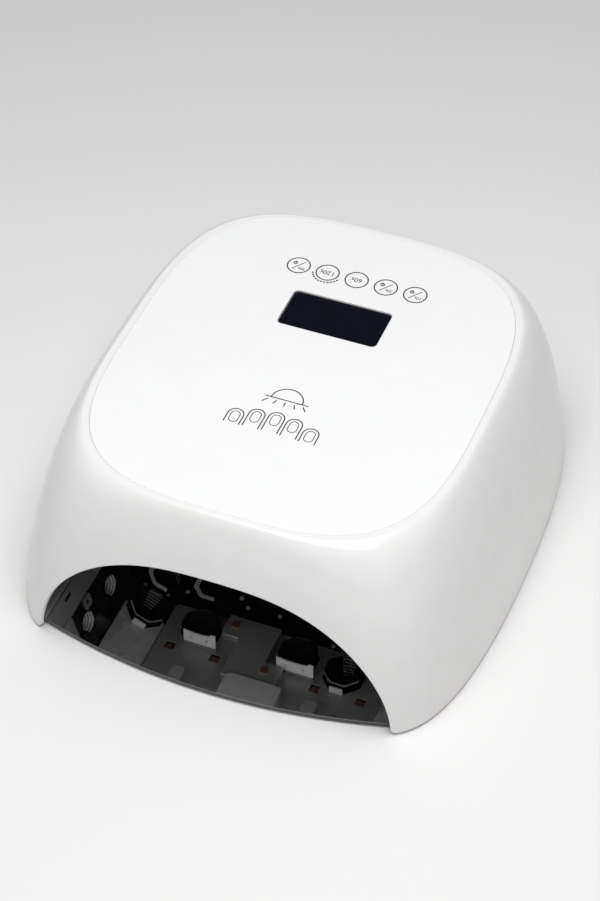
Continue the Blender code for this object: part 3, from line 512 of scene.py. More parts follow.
def shell_boundary(arch_columns=220, base_columns=300):
    """Directions and heights along the shell's lower edge and round the opening."""
    arch = arch_edge(arch_columns)
    arch_angle = front_angle(arch[:, 0], arch[:, 1])
    first = arch_angle[-1] - tau
    last = arch_angle[0]
    base_angle = np.linspace(first, last, base_columns + 2)[1:-1]
    base_z = np.full(base_columns, SHELL_BOTTOM + EDGE_ROUND)
    return np.concatenate([base_angle, arch_angle]), np.concatenate([base_z, arch[:, 1]])


def unit(vectors):
    """Vectors of length one."""
    return vectors / np.linalg.norm(vectors, axis=-1, keepdims=True)


def sideways(points):
    """Unit vectors to the left of a flat polyline's run."""
    along = unit(np.gradient(points, axis=0))
    return np.stack([-along[:, 1], along[:, 0]], axis=-1)


def rising_heights(bottom, top, rows):
    """Rows of heights from each bottom up to the top, closest where the wall curves most."""
    start = np.arcsin((bottom / top) ** (WALL_CURVE / 2))
    share = np.linspace(0, 1, rows)[:, None]
    angle = start + (pi / 2 - start) * share
    return top * np.sin(angle) ** (2 / WALL_CURVE)


def edge_rings(angle, z):
    """Rings that turn the wall's outer face round its edge to the inner face."""
    edge = wall_points(angle, z)
    step = 1e-5
    around = wall_points(angle + step, z) - wall_points(angle - step, z)
    upward = wall_points(angle, z + step) - wall_points(angle, z - step)
    normal = unit(np.cross(around, upward))
    along = unit(np.roll(edge, -1, axis=0) - np.roll(edge, 1, axis=0))
    open_side = unit(np.cross(along, normal))
    rings = []
    for turn in np.linspace(0, pi / 2, 6)[1:]:
        rings.append(edge + open_side * EDGE_ROUND * sin(turn)
                     - normal * EDGE_ROUND * (1 - cos(turn)))
    for turn in np.linspace(0, pi / 2, 5):
        rings.append(edge + open_side * EDGE_ROUND * cos(turn)
                     - normal * (WALL - EDGE_ROUND + EDGE_ROUND * sin(turn)))
    return rings


def make_shell():
    """The glossy outer moulding, with a rounded edge round its opening."""
    angle, z = shell_boundary()
    outer = [wall_points(angle, row) for row in rising_heights(z, LAMP_HEIGHT, 72)]
    rim = []
    top_corner = 0.00035
    for turn in np.linspace(0, pi / 2, 5):
        inset = RIM_BAND - top_corner * (1 - sin(turn))
        ring = wall_points(angle, LAMP_HEIGHT, inset)
        ring[:, 2] = LAMP_HEIGHT - top_corner * (1 - cos(turn))
        rim.append(ring)
    floor = wall_points(angle, LAMP_HEIGHT, RIM_BAND)
    floor[:, 2] = RECESS_FLOOR
    inner_rows = rising_heights(z, CEILING, 10)[1:]
    inner = [wall_points(angle, row, WALL, CEILING) for row in inner_rows]
    rings = inner[::-1] + edge_rings(angle, z)[::-1] + outer + rim + [floor]
    display_hole = prism(display_outline(PART_GAP, 8), CEILING - CUT_PAST, LAMP_HEIGHT + CUT_PAST)
    middle, radius, _ = round_extent("dc_socket")
    socket_hole = prism(polygon(radius + PART_GAP, 64), 0.0, 0.04)
    facing = at(middle.x, extent("dc_socket")[0].y, middle.z) @ turn_about("X", -pi / 2)
    mesh = smooth(cut(skin(rings), [display_hole, moved(socket_hole, facing)]))
    for face in mesh.polygons:
        if face.normal.z > FLAT and face.center.z > LAMP_HEIGHT - 0.00001:
            face.use_smooth = False
    add_piece("shell_skin", mesh, SHELL_WHITE, replaced=("outer_shell",))


def display_outline(margin, steps=12):
    """The display's outline, made larger all round by the margin."""
    return rounded_rectangle((WINDOW_LOW.x - margin, WINDOW_LOW.y - margin),
                             (WINDOW_HIGH.x + margin, WINDOW_HIGH.y + margin), 0.0022 + margin, steps)


def make_face_plate():
    """The flush plate, with softened edges at the groove and round the display."""
    rim = wall_points(circle(480), LAMP_HEIGHT, RIM_BAND + 0.00006)
    mesh = slab([[(x, y) for x, y, _ in rim], display_outline(PART_GAP)], PLATE_LOW.z, PLATE_HIGH.z,
                0.0004, steps=4)
    add_piece("plate_skin", mesh, PLATE_WHITE, replaced=("face_plate",))
    paint("display_window", DISPLAY_BLACK)


# ---------------------------------------------------------------- prints on the plate

PRINT_LOW = PLATE_HIGH.z + 0.00001
PRINT_HIGH = PLATE_HIGH.z + 0.00004


def text_mesh(words, size):
    """Flat numerals, centred on the origin."""
    return baked(new_curve("numerals", "FONT", body=words, size=size, align_x="CENTER",
                           align_y="CENTER", extrude=(PRINT_HIGH - PRINT_LOW) / 2, resolution_u=4,
                           offset=size * 0.006))


def stroke(points, width):
    """A flat line of even width through the points, with square ends."""
    points = np.asarray(points, float)
    side = sideways(points) * width / 2
    outline = np.concatenate([points + side, (points - side)[::-1]])
    return prism([tuple(point) for point in outline], PRINT_LOW, PRINT_HIGH)


def arc(centre, radius, start, end, count=24):
    """Points along an arc; angles are in degrees."""
    turn = np.radians(np.linspace(start, end, count))
    return np.stack([centre[0] + radius * np.cos(turn), centre[1] + radius * np.sin(turn)], axis=-1)


def ring(centre, radius, width):
    """A flat printed ring."""
    return slab([polygon(radius, 72, centre=centre),
                 polygon(radius - width, 72, centre=centre)], PRINT_LOW, PRINT_HIGH)


def make_key_prints():
    """Rings and numerals of the touch keys, to be read from the back of the lamp."""
    line, thin, large, small = 0.00065, 0.7, 0.004, 0.0026
    middle = (PRINT_LOW + PRINT_HIGH) / 2

    def add(name, parts):
        add_piece(name, together(parts), PRINT_GREY)

    def numerals(words, x, y, size):
        return moved(text_mesh(words, size), at(x, y, middle) @ turn_about("Z", pi))

    xs = [KEY_PITCH * (key - (KEY_COUNT - 1) / 2) for key in range(KEY_COUNT)]
    labels = (("90s", True), ("120s", False), ("60s", False), ("30s", True), ("10s", True))
    for key, (x, (words, slashed)) in enumerate(zip(xs, labels), start=1):
        parts = [ring((x, KEY_Y), KEY_RADIUS, line)]
        if slashed:
            parts += [stroke([(x - 0.0024, KEY_Y - 0.0032), (x + 0.0024, KEY_Y + 0.0032)], line * thin),
                      numerals(words, x + 0.002, KEY_Y - 0.0019, small),
                      ring((x - 0.0021, KEY_Y + 0.0014), 0.0011, line * 0.8),
                      stroke([(x - 0.0021, KEY_Y + 0.0012), (x - 0.0021, KEY_Y + 0.0028)], line * thin)]
        else:
            parts.append(numerals(words, x, KEY_Y, large))
        add(f"key_print_{key}", parts)
    dashes = [arc((xs[1], KEY_Y), KEY_RADIUS + 0.0013, start, start + 9, 5)
              for start in range(195, 330, 13)]
    add("key_print_dashes", [stroke(dash, 0.0008) for dash in dashes])


def make_front_symbol():
    """A plain line drawing: a lamp's dome and its rays over five fingertips and their nails."""
    line, thin = 0.0006, 0.7
    dome_y, dome_radius, brim = -0.019, 0.0075, 0.0105
    parts = [stroke(arc((0.0, dome_y), dome_radius, 0, 180, 40), line),
             stroke([(-brim, dome_y), (brim, dome_y)], line)]
    for ray in range(-2, 3):
        x = 0.0042 * ray
        parts.append(stroke([(x, dome_y - 0.0014), (x * 1.25, dome_y - 0.004)], line))
    finger, nail, nail_length, pitch = 0.0037, 0.0021, 0.0028, 0.009
    for number, rise in zip(range(-2, 3), (-0.003, 0.0, 0.0012, 0.0, -0.003)):
        x, y = pitch * number, -0.0325 + rise
        foot = -0.0405 - abs(number) * 0.0004
        parts.append(stroke(np.concatenate([[(x - finger, foot)], arc((x, y), finger, 180, 0, 24),
                                            [(x + finger, foot)]]), line))
        edge = np.concatenate([arc((x, y), nail, 180, 0, 20),
                               arc((x, y - nail_length), nail, 0, -180, 12)])
        parts.append(stroke(np.concatenate([edge, edge[:1]]), line * thin))
    add_piece("front_symbol", together(parts), PRINT_GREY)


# ---------------------------------------------------------------- chamber


def facet_frame(side, lower, upper, y):
    """Frame on the middle of a side facet: +Z points out of the chamber."""
    middle = (side * (lower[0] + upper[0]) / 2, y, (lower[1] + upper[1]) / 2)
    lean = atan2(upper[1] - lower[1], lower[0] - upper[0])
    return at(*middle) @ turn_about("Y", side * lean)


ROOF = at(z=CHAMBER_ROOF)
LARGE_CUPS = {f"roof_cup_{i}": at(x, y, CHAMBER_ROOF) for i, (x, y) in
              enumerate(((-0.04, -0.0335), (0.011, -0.033), (0.036, -0.036)), start=1)}
LARGE_CUPS.update({f"slope_cup_{word}": facet_frame(side, SECTION[1], SECTION[0], -0.035)
                   for side, word in SIDES})
REAR_CUPS = {"rear_cup_1": at(-0.044, -0.008, CHAMBER_ROOF),
             "rear_cup_2": facet_frame(-1, SECTION[1], SECTION[0], -0.0135)}
SMALL_CUPS = {f"side_cup_{word}_{i}": facet_frame(side, SECTION[2], SECTION[1], y)
              for side, word in SIDES for i, y in enumerate((-0.068, -0.0425), start=1)}
RIBBED_CUPS = ("slope_cup_left", "slope_cup_right", "roof_cup_3")
LARGE_CUP = dict(mouth=0.0104, throat=0.0066, low=-0.006, high=0.005)
SMALL_CUP = dict(mouth=0.0066, throat=0.0044, low=0.0, high=0.0065)
CUP_GAP = 0.0004
FRONT_ROW_XS = (-0.0508, -0.027, 0.0254, 0.049)
FRONT_ROW_Y = -0.048
EYES = [(x, -0.086) for x in (-0.008, 0.008)]
EYE_RADIUS = 0.0027
SHEET_LOW, SHEET_HIGH = -0.001, -0.0002        # grey plates, measured from the liner they lie on


def octagon_hole(radius, low, high, place):
    """A tool for a hole with clearance round an eight-sided cup."""
    return moved(prism(polygon(radius + CUP_GAP, 8, pi / 8), low, high), place)


def row_holes(half, low, high):
    """Tools for the windows over the front row of lights."""
    return [prism(rectangle_at(x, FRONT_ROW_Y, half, half, 0.0004, 3), low, high)
            for x in FRONT_ROW_XS]


def within_shell(mesh, heights):
    """The part of the mesh inside the shell's room, which is drawn through the heights."""
    room = [wall_points(circle(240), z, WALL + 0.0006, CEILING) for z in heights]
    return combined(mesh, skin(room), "INTERSECT")


def add_liner_piece(name, mesh, material, replaced=()):
    """Add a piece of the metallised liner, shaded sharp at its folds."""
    return add_piece(name, smooth(mesh, 25), material, replaced=replaced)


def recolour(piece, material, chosen):
    """Give the faces that are chosen a second material."""
    piece.data.materials.append(material)
    for face in piece.data.polygons:
        if chosen(face):
            face.material_index = 1


def softened(corners, radius, steps=4):
    """A polyline whose inner corners are rounded off."""
    corners = [np.array(corner, float) for corner in corners]
    points = [corners[0]]
    for neighbours in zip(corners, corners[1:], corners[2:]):
        points += bend(*neighbours, radius, steps)
    return np.array(points + [corners[-1]])


def inner_front(x, z, gap):
    """How far forward the room inside the shell reaches at x and z."""
    half_width, half_depth, width_power, depth_power, centre_y = wall_sizes(
        z, WALL + gap, CEILING)
    share = np.clip(1 - np.abs(x / half_width) ** width_power, 0, 1)
    return centre_y - half_depth * share ** (1 / depth_power)


def make_liner():
    """The metallised liner, near black as painted shade: facets with soft corners, and holes for what
    shows through.
    """
    line = softened([(-x, z) for x, z in SECTION[::-1]] + list(SECTION), 0.003)
    outer = line + sideways(line) * LINER_THICKNESS
    outer[[0, -1], 1] = LINER_LOW.z
    section = np.concatenate([line, outer[::-1]])
    count, total = len(line), len(section)
    front = inner_front(section[:, 0], section[:, 1], 0.0004)
    rows = [np.stack([section[:, 0], y, section[:, 1]], axis=-1)
            for y in (front, np.full(total, CHAMBER_BACK_Y))]
    faces = [(i, (i + 1) % total, total + (i + 1) % total, total + i) for i in range(total)]
    faces += [(i, total - 1 - i, total - 2 - i, i + 1) for i in range(count - 1)]
    faces += [(total + i, total + i + 1, 2 * total - 2 - i, 2 * total - 1 - i)
              for i in range(count - 1)]
    hood = mesh_from(np.concatenate(rows), faces)
    low, high = -0.0005, LINER_THICKNESS + 0.0005
    mouth, throat, bottom, top = (LARGE_CUP[key] for key in ("mouth", "throat", "low", "high"))
    reach = throat + (mouth - throat) * top / (top - bottom)        # where the cone meets the roof
    holes = [octagon_hole(reach, low, high, place) for place in LARGE_CUPS.values()]
    holes += [octagon_hole(SMALL_CUP["mouth"], low, high, place) for place in SMALL_CUPS.values()]
    holes += [moved(tool, ROOF) for tool in row_holes(0.0028, low, high)]
    rounds = [(place, EYE_RADIUS, 32) for place in EYES]
    rounds += [((x, POST_Y), 0.0016, 24) for x in (-POST_X, POST_X)]
    holes += [moved(prism(polygon(radius, sides, centre=place), low, high), ROOF)
              for place, radius, sides in rounds]
    liner = add_liner_piece("liner_skin", cut(hood, holes), LINER_PAINTED_SHADE, ("reflector_liner",))
    side_top = SECTION[2][1] + 0.001
    recolour(liner, SIDE_METAL, lambda face: face.center.z < side_top and abs(face.normal.x) > 0.9)
    # The back plate carries the same painted shade.
    back = prism([tuple(point) for point in outer], 0.0, LINER_THICKNESS)
    back.transform(at(y=CHAMBER_BACK_Y + LINER_THICKNESS + 0.00001) @ turn_about("X"))
    add_liner_piece("liner_back", back, LINER_PAINTED_SHADE)


def make_roof_panels():
    """Grey plates laid on the liner's roof and slopes in front of the hand's space."""
    low, high = CHAMBER_ROOF + SHEET_LOW, CHAMBER_ROOF + SHEET_HIGH
    past = (SHEET_LOW - 0.004, SHEET_HIGH + 0.0012)
    plate = slab([rounded_corners([(-0.0583, -0.0215), (-0.0583, -0.1), (0.0583, -0.1),
                                   (0.0583, -0.0215)], 0.0025)], low, high, 0.0003)
    holes = [octagon_hole(LARGE_CUP["mouth"], *past, LARGE_CUPS[f"roof_cup_{i}"]) for i in (1, 2, 3)]
    plate = cut(plate, holes + row_holes(0.0025, low - CUT_PAST, high + CUT_PAST))
    plate = within_shell(plate, (low - 0.002, high + 0.002))
    brighten_edges(add_liner_piece("roof_plate", plate, PANEL_METAL))
    panel_low, panel_high = extent("centre_panel")
    panel = slab([rounded_corners(PANEL_OUTLINE, 0.0012)], panel_low.z, panel_high.z - 0.0008,
                 0.0003)
    brighten_edges(add_piece("centre_panel_skin", panel, PANEL_METAL,
                             replaced=("centre_panel",)))
    for side, word in SIDES:
        strip = slab([rounded_rectangle((-0.0112, -0.098), (0.0112, -0.036), 0.0016)],
                     SHEET_LOW, SHEET_HIGH, 0.0002)
        strip.transform(facet_frame(side, SECTION[1], SECTION[0], 0.0))
        hole = octagon_hole(LARGE_CUP["mouth"], *past, LARGE_CUPS[f"slope_cup_{word}"])
        strip = within_shell(cut(strip, [hole]), (0.05, 0.056, 0.062, 0.068, 0.074))
        add_liner_piece(f"slope_plate_{word}", strip, SLOPE_METAL)


def brighten_edges(piece):
    """Give the piece's lower bevels a lighter grey."""
    recolour(piece, EDGE_METAL, lambda face: -0.97 < face.normal.z < -0.25)


def make_side_plates():
    """On the steep side facets, a front border and a catch with its hole; an oval plug below."""
    for side, word in SIDES:
        facet = facet_frame(side, SECTION[2], SECTION[1], 0.0)
        border = slab([rounded_rectangle((-0.0153, -0.112), (0.0153, -0.079), 0.003)],
                      -0.0009, SHEET_HIGH, 0.0002)
        border = within_shell(moved(border, facet), (0.02, 0.03, 0.04, 0.05, 0.06, 0.07))
        add_liner_piece(f"side_border_{word}", border, SIDE_METAL)
        x, y = 0.0104 * side, -0.064
        catch = slab([rectangle_at(x, y, 0.0034, 0.0032, 0.0012),
                      rectangle_at(x, y, 0.0012, 0.0015, 0.0008)], -0.0012, SHEET_HIGH, 0.0002)
        add_piece(f"side_catch_{word}", moved(catch, facet), PANEL_METAL)
        oval = [(0.0011 * cos(turn), 0.003 * sin(turn)) for turn in circle(28)]
        plug = slab([oval], 0.0001, 0.0005, 0.0001)
        wall = at(side * SECTION[2][0], -0.0796, 0.0165) @ turn_about("Y", -side * pi / 2)
        add_piece(f"side_plug_{word}", moved(plug, wall), CUP_DARK)


def make_sensor_cover():
    """The rounded cover over the hand sensor in the roof's front, with its two eyes, and clips."""
    low, high = CHAMBER_ROOF - 0.0082, CHAMBER_ROOF - 0.0068
    outline = rounded_rectangle((-0.0158, -0.0985), (0.0134, -0.0585), 0.003)
    cover = slab([outline] + [polygon(EYE_RADIUS, 32, centre=place) for place in EYES], low, high,
                 0.0005)
    add_piece("sensor_cover", cover, COVER_GREY)
    ribs = [box((x - 0.0012, -0.0975, high - 0.0002), (x + 0.0012, -0.0615, CHAMBER_ROOF - 0.0003),
                0.0002) for x in (-0.013, 0.0124)]
    add_piece("sensor_cover_ribs", together(ribs), COVER_GREY)
    for number, place in enumerate(((-0.0385, -0.069), (0.029, -0.066)), start=1):
        clip = slab([rectangle_at(*place, 0.0035, 0.005, 0.0016)], low, high, 0.0005)
        add_piece(f"liner_clip_{number}", clip, CLIP_GREY)


def rounded_corners(corners, radius, steps=5):
    """A closed outline whose corners are rounded off."""
    corners = [np.array(corner, float) for corner in corners]
    points = []
    for i, corner in enumerate(corners):
        points += bend(corners[i - 1], corner, corners[(i + 1) % len(corners)], radius, steps)
    return [tuple(point) for point in points]


def octagon_ring(radius, z, corner=0.16):
    """An eight-sided ring whose corners are a little rounded."""
    corners = [np.array(point) for point in polygon(radius, 8, pi / 8)]
    points = []
    for i, here in enumerate(corners):
        start = here + (corners[i - 1] - here) * corner
        end = here + (corners[(i + 1) % 8] - here) * corner
        for x, y in (start, (start + 2 * here + end) / 4, end):
            points.append((x, y, z))
    return points


def make_cup(name, place, sizes, ribs, lit=(), lip_lit=(), wide_bars=False, lip=0.0007,
             replaced=True):
    """A faceted reflector cup in painted shade: the named facets carry painted highlights on their
    ribs, or on the lip.

    A facet is named by its direction in degrees in the cup's own frame.
    """
    wall, chamfer, groove, facet_half = 0.0007, 0.0004, 0.0004, 23
    mouth, throat, low, high = (sizes[key] for key in ("mouth", "throat", "low", "high"))
    mouth -= 0.0001

    def radius(z):
        return mouth + (throat - mouth) * (z - low) / (high - low)

    rings = [octagon_ring(throat, high), octagon_ring(radius(low + chamfer), low + chamfer),
             octagon_ring(mouth - 0.0001, low), octagon_ring(mouth - lip * 0.8, low),
             octagon_ring(mouth - lip, low + 0.0003)]
    first_rib = len(rings)
    step = (high - low - 2 * chamfer) / ribs
    bar = 0.74 if wide_bars else 0.62
    for rib in range(ribs):
        z = low + chamfer + rib * step
        for share, depth in ((0.0, 0.0), (bar, 0.0), (bar + 0.06, groove), (0.94, groove)):
            rings.append(octagon_ring(radius(z) - wall - depth, z + step * share))
    rings.append(octagon_ring(throat - wall, high))
    mesh = skin(rings, closed=True)
    # Slot 0 is the cup's painted shade; slots 1 and 2 are the painted highlights of the lip and of the
    # ribs.
    for material in (CUP_DARK, CUP_PAINTED_HIGHLIGHT if lip > 0.001 else LIP_PAINTED_HIGHLIGHT,
                     CUP_PAINTED_HIGHLIGHT if wide_bars else RIB_PAINTED_HIGHLIGHT):
        mesh.materials.append(material)
    bright_bands = (0, 3) if wide_bars else (1, 2)

    def faces_one_of(face, directions):
        turn = degrees(atan2(face.center.y, face.center.x)) % 360
        return any(abs(turn - direction) < facet_half for direction in directions)

    for face in mesh.polygons:
        row = face.index // len(rings[0])
        if 1 <= row < first_rib - 1:
            face.material_index = 1 if faces_one_of(face, lip_lit) else 0
        elif first_rib <= row < len(rings) - 1 and (row - first_rib) % 4 in bright_bands:
            face.material_index = 2 if faces_one_of(face, lit) else 0
    add_piece(f"{name}_skin", moved(smooth(mesh, 28), place), None,
              replaced=(name,) if replaced else ())


def make_cups():
    """All reflector cups."""
    # The facets listed in lit and lip_lit get painted highlights; all other facets get painted shade.
    for name, place in LARGE_CUPS.items():
        ribbed = name in RIBBED_CUPS
        make_cup(name, place, LARGE_CUP, 6, lit=(90,) if ribbed else (),
                 lip_lit=(225, 270, 315) if ribbed else (270,))
    for name, place in SMALL_CUPS.items():
        make_cup(name, place, SMALL_CUP, 4, lit=(0, 45, 90, 135, 180), wide_bars=True)
    make_cup_fronts()
    for name, place in REAR_CUPS.items():
        make_cup(name, place, LARGE_CUP, 6, lit=(45, 90), lip_lit=(135, 180, 225, 270), lip=0.0026,
                 replaced=False)


def make_cup_fronts():
    """White plates with feet before two of the roof's cups, and tabs before three cups."""
    low, high = CHAMBER_ROOF - 0.0112, CHAMBER_ROOF - 0.0036
    y, thickness, step = -0.0444, 0.0008, 0.001
    for number, (left, right) in enumerate(((-0.0448, -0.028), (0.004, 0.0232)), start=1):
        width = right - left
        dip = [(left + width * share, low + 0.0008 * sin(pi * share))
               for share in np.linspace(0.05, 0.78, 14)]
        outline = [(left, high), (left, low)] + dip + [
            (right - 0.003, low), (right - 0.0026, low - step), (right, low - step), (right, high)]
        holes = [polygon(0.0007, 20, centre=(left + width * share, low + 0.0042))
                 for share in (0.25, 0.72)]
        plate = slab([outline] + holes, 0.0, thickness, 0.0001)
        plate.transform(at(y=y + thickness) @ turn_about("X"))
        add_piece(f"cup_front_{number}", plate, WHITE_PLATE)
        foot = box((left, y, high), (right, y + thickness, CHAMBER_ROOF - 0.0011), 0.0001)
        add_piece(f"cup_front_foot_{number}", foot, PANEL_METAL)
    front = -LARGE_CUP["mouth"] - CUP_GAP
    for name in RIBBED_CUPS:
        tab = box((-0.0034, front - thickness, LARGE_CUP["low"] + 0.0008), (0.0034, front, -0.0012),
                  0.0002)
        add_piece(f"{name}_tab", moved(tab, LARGE_CUPS[name]), CLIP_WHITE)


def assemble(name, groups, replaced=()):
    """One piece from several meshes, each with its own finish."""
    result = bpy.data.meshes.new(name)
    materials = list(dict.fromkeys(material for _, material in groups))
    with editing(result) as shape:
        for mesh, material in groups:
            first = len(shape.faces)
            shape.from_mesh(mesh)
            shape.faces.ensure_lookup_table()
            for face in shape.faces[first:]:
                face.material_index = materials.index(material)
    for material in materials:
        result.materials.append(material)
    add_piece(name, result, None, replaced=replaced)


def chip_groups(low, high, finishes, half=0.0023):
    """A light source facing down: a body with a lens under it, in their two finishes."""
    body = box((-half, -half, low + 0.0003), (half, half, high), 0.0002)
    lens = slab([rectangle_at(0.0, 0.0, half * 0.82, half * 0.82, half * 0.3, 4)], low, low + 0.0006,
                0.00015)
    return [(body, finishes[0]), (lens, finishes[1])]


def shifted(groups, matrix):
    """The groups after a move."""
    return [(moved(mesh, matrix), material) for mesh, material in groups]


def make_lights():
    """Light sources behind the cups, in the roof's windows and on the low panel."""
    for cups, sizes in ((LARGE_CUPS, LARGE_CUP), (SMALL_CUPS, SMALL_CUP)):
        for name, place in cups.items():
            low = sizes["high"] + PART_GAP
            board = slab([rectangle_at(0.0, 0.0, 0.007, 0.007, 0.0014)], low, low + 0.0012, 0.00015)
            groups = [(board, MODULE_BLACK)] + chip_groups(low - 0.0016, low, (CUP_DARK, LED_SMOKE))
            node = name.replace("cup", "led")
            assemble(f"{node}_skin", shifted(groups, place), (node,))
    low, high = extent("front_led_board")
    bottom = high.z - 0.0012
    edge = rounded_rectangle((low.x, low.y), (high.x, high.y), 0.001)
    groups = [(slab([edge], bottom, high.z, 0.0001), BOARD_GREEN)]
    for x in FRONT_ROW_XS:
        groups += shifted(chip_groups(low.z, bottom, (LED_BROWN, LED_AMBER)), at(x, FRONT_ROW_Y))
    assemble("front_led_board_skin", groups, ("front_led_board",))
    for node in ("panel_led_1", "panel_led_2"):
        low, high = extent(node)
        middle = (low + high) / 2
        groups = chip_groups(low.z, high.z, (LED_BROWN, LED_AMBER))
        assemble(f"{node}_skin", shifted(groups, at(middle.x, middle.y)), (node,))


def make_rivets():
    """Small bright rivets that hold the liner's rear plates."""
    places = ((-0.076, -0.0215), (-0.064, -0.0195), (-0.0568, -0.0119), (-0.0298, -0.0061),
              (-0.0245, -0.0109), (-0.0076, -0.0105), (0.024, -0.019), (0.048, -0.018))
    heads = []
    for x, y in places:
        head = turned([(0.0, -0.0011), (0.0007, -0.001), (0.0011, -0.0006), (0.0012, -0.0002),
                       (0.0, -0.0002)], 20)
        place = at(x, y, CHAMBER_ROOF)
        if abs(x) > SECTION[0][0]:
            side = copysign(1, x)
            aside = x - side * (SECTION[0][0] + SECTION[1][0]) / 2
            place = facet_frame(side, SECTION[1], SECTION[0], y) @ at(aside)
        heads.append(moved(head, place))
    add_piece("liner_rivets", together(heads), CLIP_GREY)


def tray_outline():
    """The tray's outline: bowed front edge, round rear corners."""
    front = CENTRE_Y - BASE_HALF_DEPTH - TRAY_LIP
    half = TRAY_HIGH.x
    bow = [(half * share, front + TRAY_BOW * share * share) for share in np.linspace(-1, 1, 81)]
    rear = rounded_rectangle((-half, front), (half, TRAY_HIGH.y), 0.006, 10)
    return bow + [point for point in rear if point[1] > 0]


def make_tray():
    """The mirror tray, its dark edge with a painted highlight along the upper rounding, and its two
    pads.
    """
    mesh = slab([tray_outline()], TRAY_LOW.z, TRAY_HIGH.z, 0.0003)
    for material in (TRAY_MIRROR, TRAY_EDGE, TRAY_PAINTED_HIGHLIGHT):
        mesh.materials.append(material)
    for face in mesh.polygons:
        rise = face.normal.z
        # Level faces are mirror; upward-facing rounding faces get the painted highlight, the rest the
        # dark edge finish.
        face.material_index = 0 if abs(rise) > FLAT else 2 if rise > 0.35 else 1
    add_piece("mirror_tray_skin", mesh, None, TRAY, ("mirror_tray",))
    for _, word in SIDES:
        make_round_piece(f"tray_pad_{word}", RUBBER_BLACK, TRAY)


def make_round_piece(node, material, body=LAMP, edge=0.0002):
    """An upright disc that stands for a CAD one, with softened edges."""
    middle, radius, rise = round_extent(node)
    soft = edge * 0.3
    mesh = turned([(0.0, 0.0), (radius - edge, 0.0), (radius - soft, soft), (radius, edge),
                   (radius, rise - edge), (radius - soft, rise - soft), (radius - edge, rise),
                   (0.0, rise)], 64)
    mesh.transform(at(middle.x, middle.y, extent(node)[0].z))
    add_piece(f"{node}_skin", mesh, material, body, (node,))


def make_screws():
    """Pan-head screws with a cross recess, heads down."""
    shank, pitch, slot_half = 0.0013, 0.0005, 0.0003
    for node in sorted(node for node in NODES if "_screw_" in node):
        middle, radius, rise = round_extent(node)
        profile = [(0.0, 0.0), (radius * 0.55, 0.0), (radius * 0.85, 0.0002), (radius, 0.0006),
                   (radius, 0.0012), (shank, 0.0013)]
        for turn in range(int((rise - 0.003) / pitch)):
            z = 0.0016 + turn * pitch
            profile += [(shank, z), (shank - pitch / 2, z + pitch / 2)]
        screw = turned(profile + [(shank * 0.7, rise - 0.0006), (0.0, rise)], 32)
        arm = radius * 0.55
        for half_x, half_y in ((arm, slot_half), (slot_half, arm)):
            recess = rectangle_at(0.0, 0.0, half_x, half_y, 0.0001, 2)
            screw = cut(screw, [prism(recess, -CUT_PAST, 0.0007)])
        screw.transform(at(middle.x, middle.y, extent(node)[0].z))
        add_piece(f"{node}_skin", smooth(screw, 35), STEEL, replaced=(node,))


def make_bosses():
    """The bored pillars inside the shell that the screws are driven into."""
    bore, soft, sunk = 0.0016, 0.0002, 0.0002
    liner_top = CHAMBER_ROOF + LINER_THICKNESS
    board_top = extent("control_board")[0].z + BOARD_THICKNESS
    ceiling = CEILING + sunk
    kinds = {"base_screw_": (0.0035, LINER_LOW.z, 0.038, LINER_LOW.z + 0.012),
             "liner_screw_": (0.0032, liner_top + 0.001, ceiling, liner_top + 0.001 + 0.008),
             "board_screw_": (0.0032, board_top + PART_GAP, ceiling, ceiling - 0.0006)}
    pillars = []
    for node in sorted(NODES):
        for start, (radius, bottom, top, bore_end) in kinds.items():
            if node.startswith(start):
                pillar = turned([(0.0, bore_end), (bore, bore_end), (bore, bottom + soft),
                                 (bore + soft, bottom), (radius - soft, bottom),
                                 (radius, bottom + soft), (radius, top), (0.0, top)], 40)
                middle = round_extent(node)[0]
                pillars.append(moved(pillar, at(middle.x, middle.y)))
    add_piece("shell_bosses", smooth(together(pillars), 35), SHELL_WHITE)


def make_base_frame():
    """The black base frame with vents, pillars and recessed screw holes."""
    low, high = extent("base_frame")
    top = low.z + 0.003
    cut_low, cut_high = low.z - CUT_PAST, top + CUT_PAST
    half_width, back_y = 0.0845, 0.076
    edge = [(x, y) for x, y, _ in wall_points(circle(360), top, WALL + PART_GAP, CEILING)]
    plate = slab([edge], low.z, top, 0.0003)
    tools = [box((-half_width, -0.3, cut_low), (half_width, back_y, cut_high))]
    for node in ("tray_magnet_left", "tray_magnet_right") + tuple(
            f"base_screw_{number}" for number in range(1, 5)):
        middle, radius, _ = round_extent(node)
        outline = (polygon(0.0016, 32, centre=middle[:2]) if "screw" in node else
                   polygon(radius + PART_GAP, 48, centre=middle[:2]))
        tools.append(prism(outline, cut_low, cut_high))
    for column in range(-4, 5):
        vent = rectangle_at(column * 0.0062, 0.09625, 0.0011, 0.00575, 0.001, 4)
        tools.append(prism(vent, cut_low, cut_high))
    parts = [cut(plate, tools)]
    for side, _ in SIDES:
        pillar = turned([(0.0, top - 0.0002), (0.0033, top - 0.0002), (0.003, top + 0.0006),
                         (0.003, high.z - 0.0002), (0.0028, high.z), (0.0, high.z)], 32)
        parts.append(moved(pillar, at(side * 0.015, 0.095)))
    base = add_piece("base_frame_skin", smooth(together(parts), 30), FRAME_BLACK,
                     replaced=("base_frame",))

    def faces_chamber(face):
        inward = (abs(face.normal.x) > 0.9 and abs(face.center.x) < half_width + 0.0002
                  and face.center.y < back_y)
        return inward or (face.normal.z > 0.9 and face.center.z < top + 0.0001)

    recolour(base, SIDE_METAL, faces_chamber)


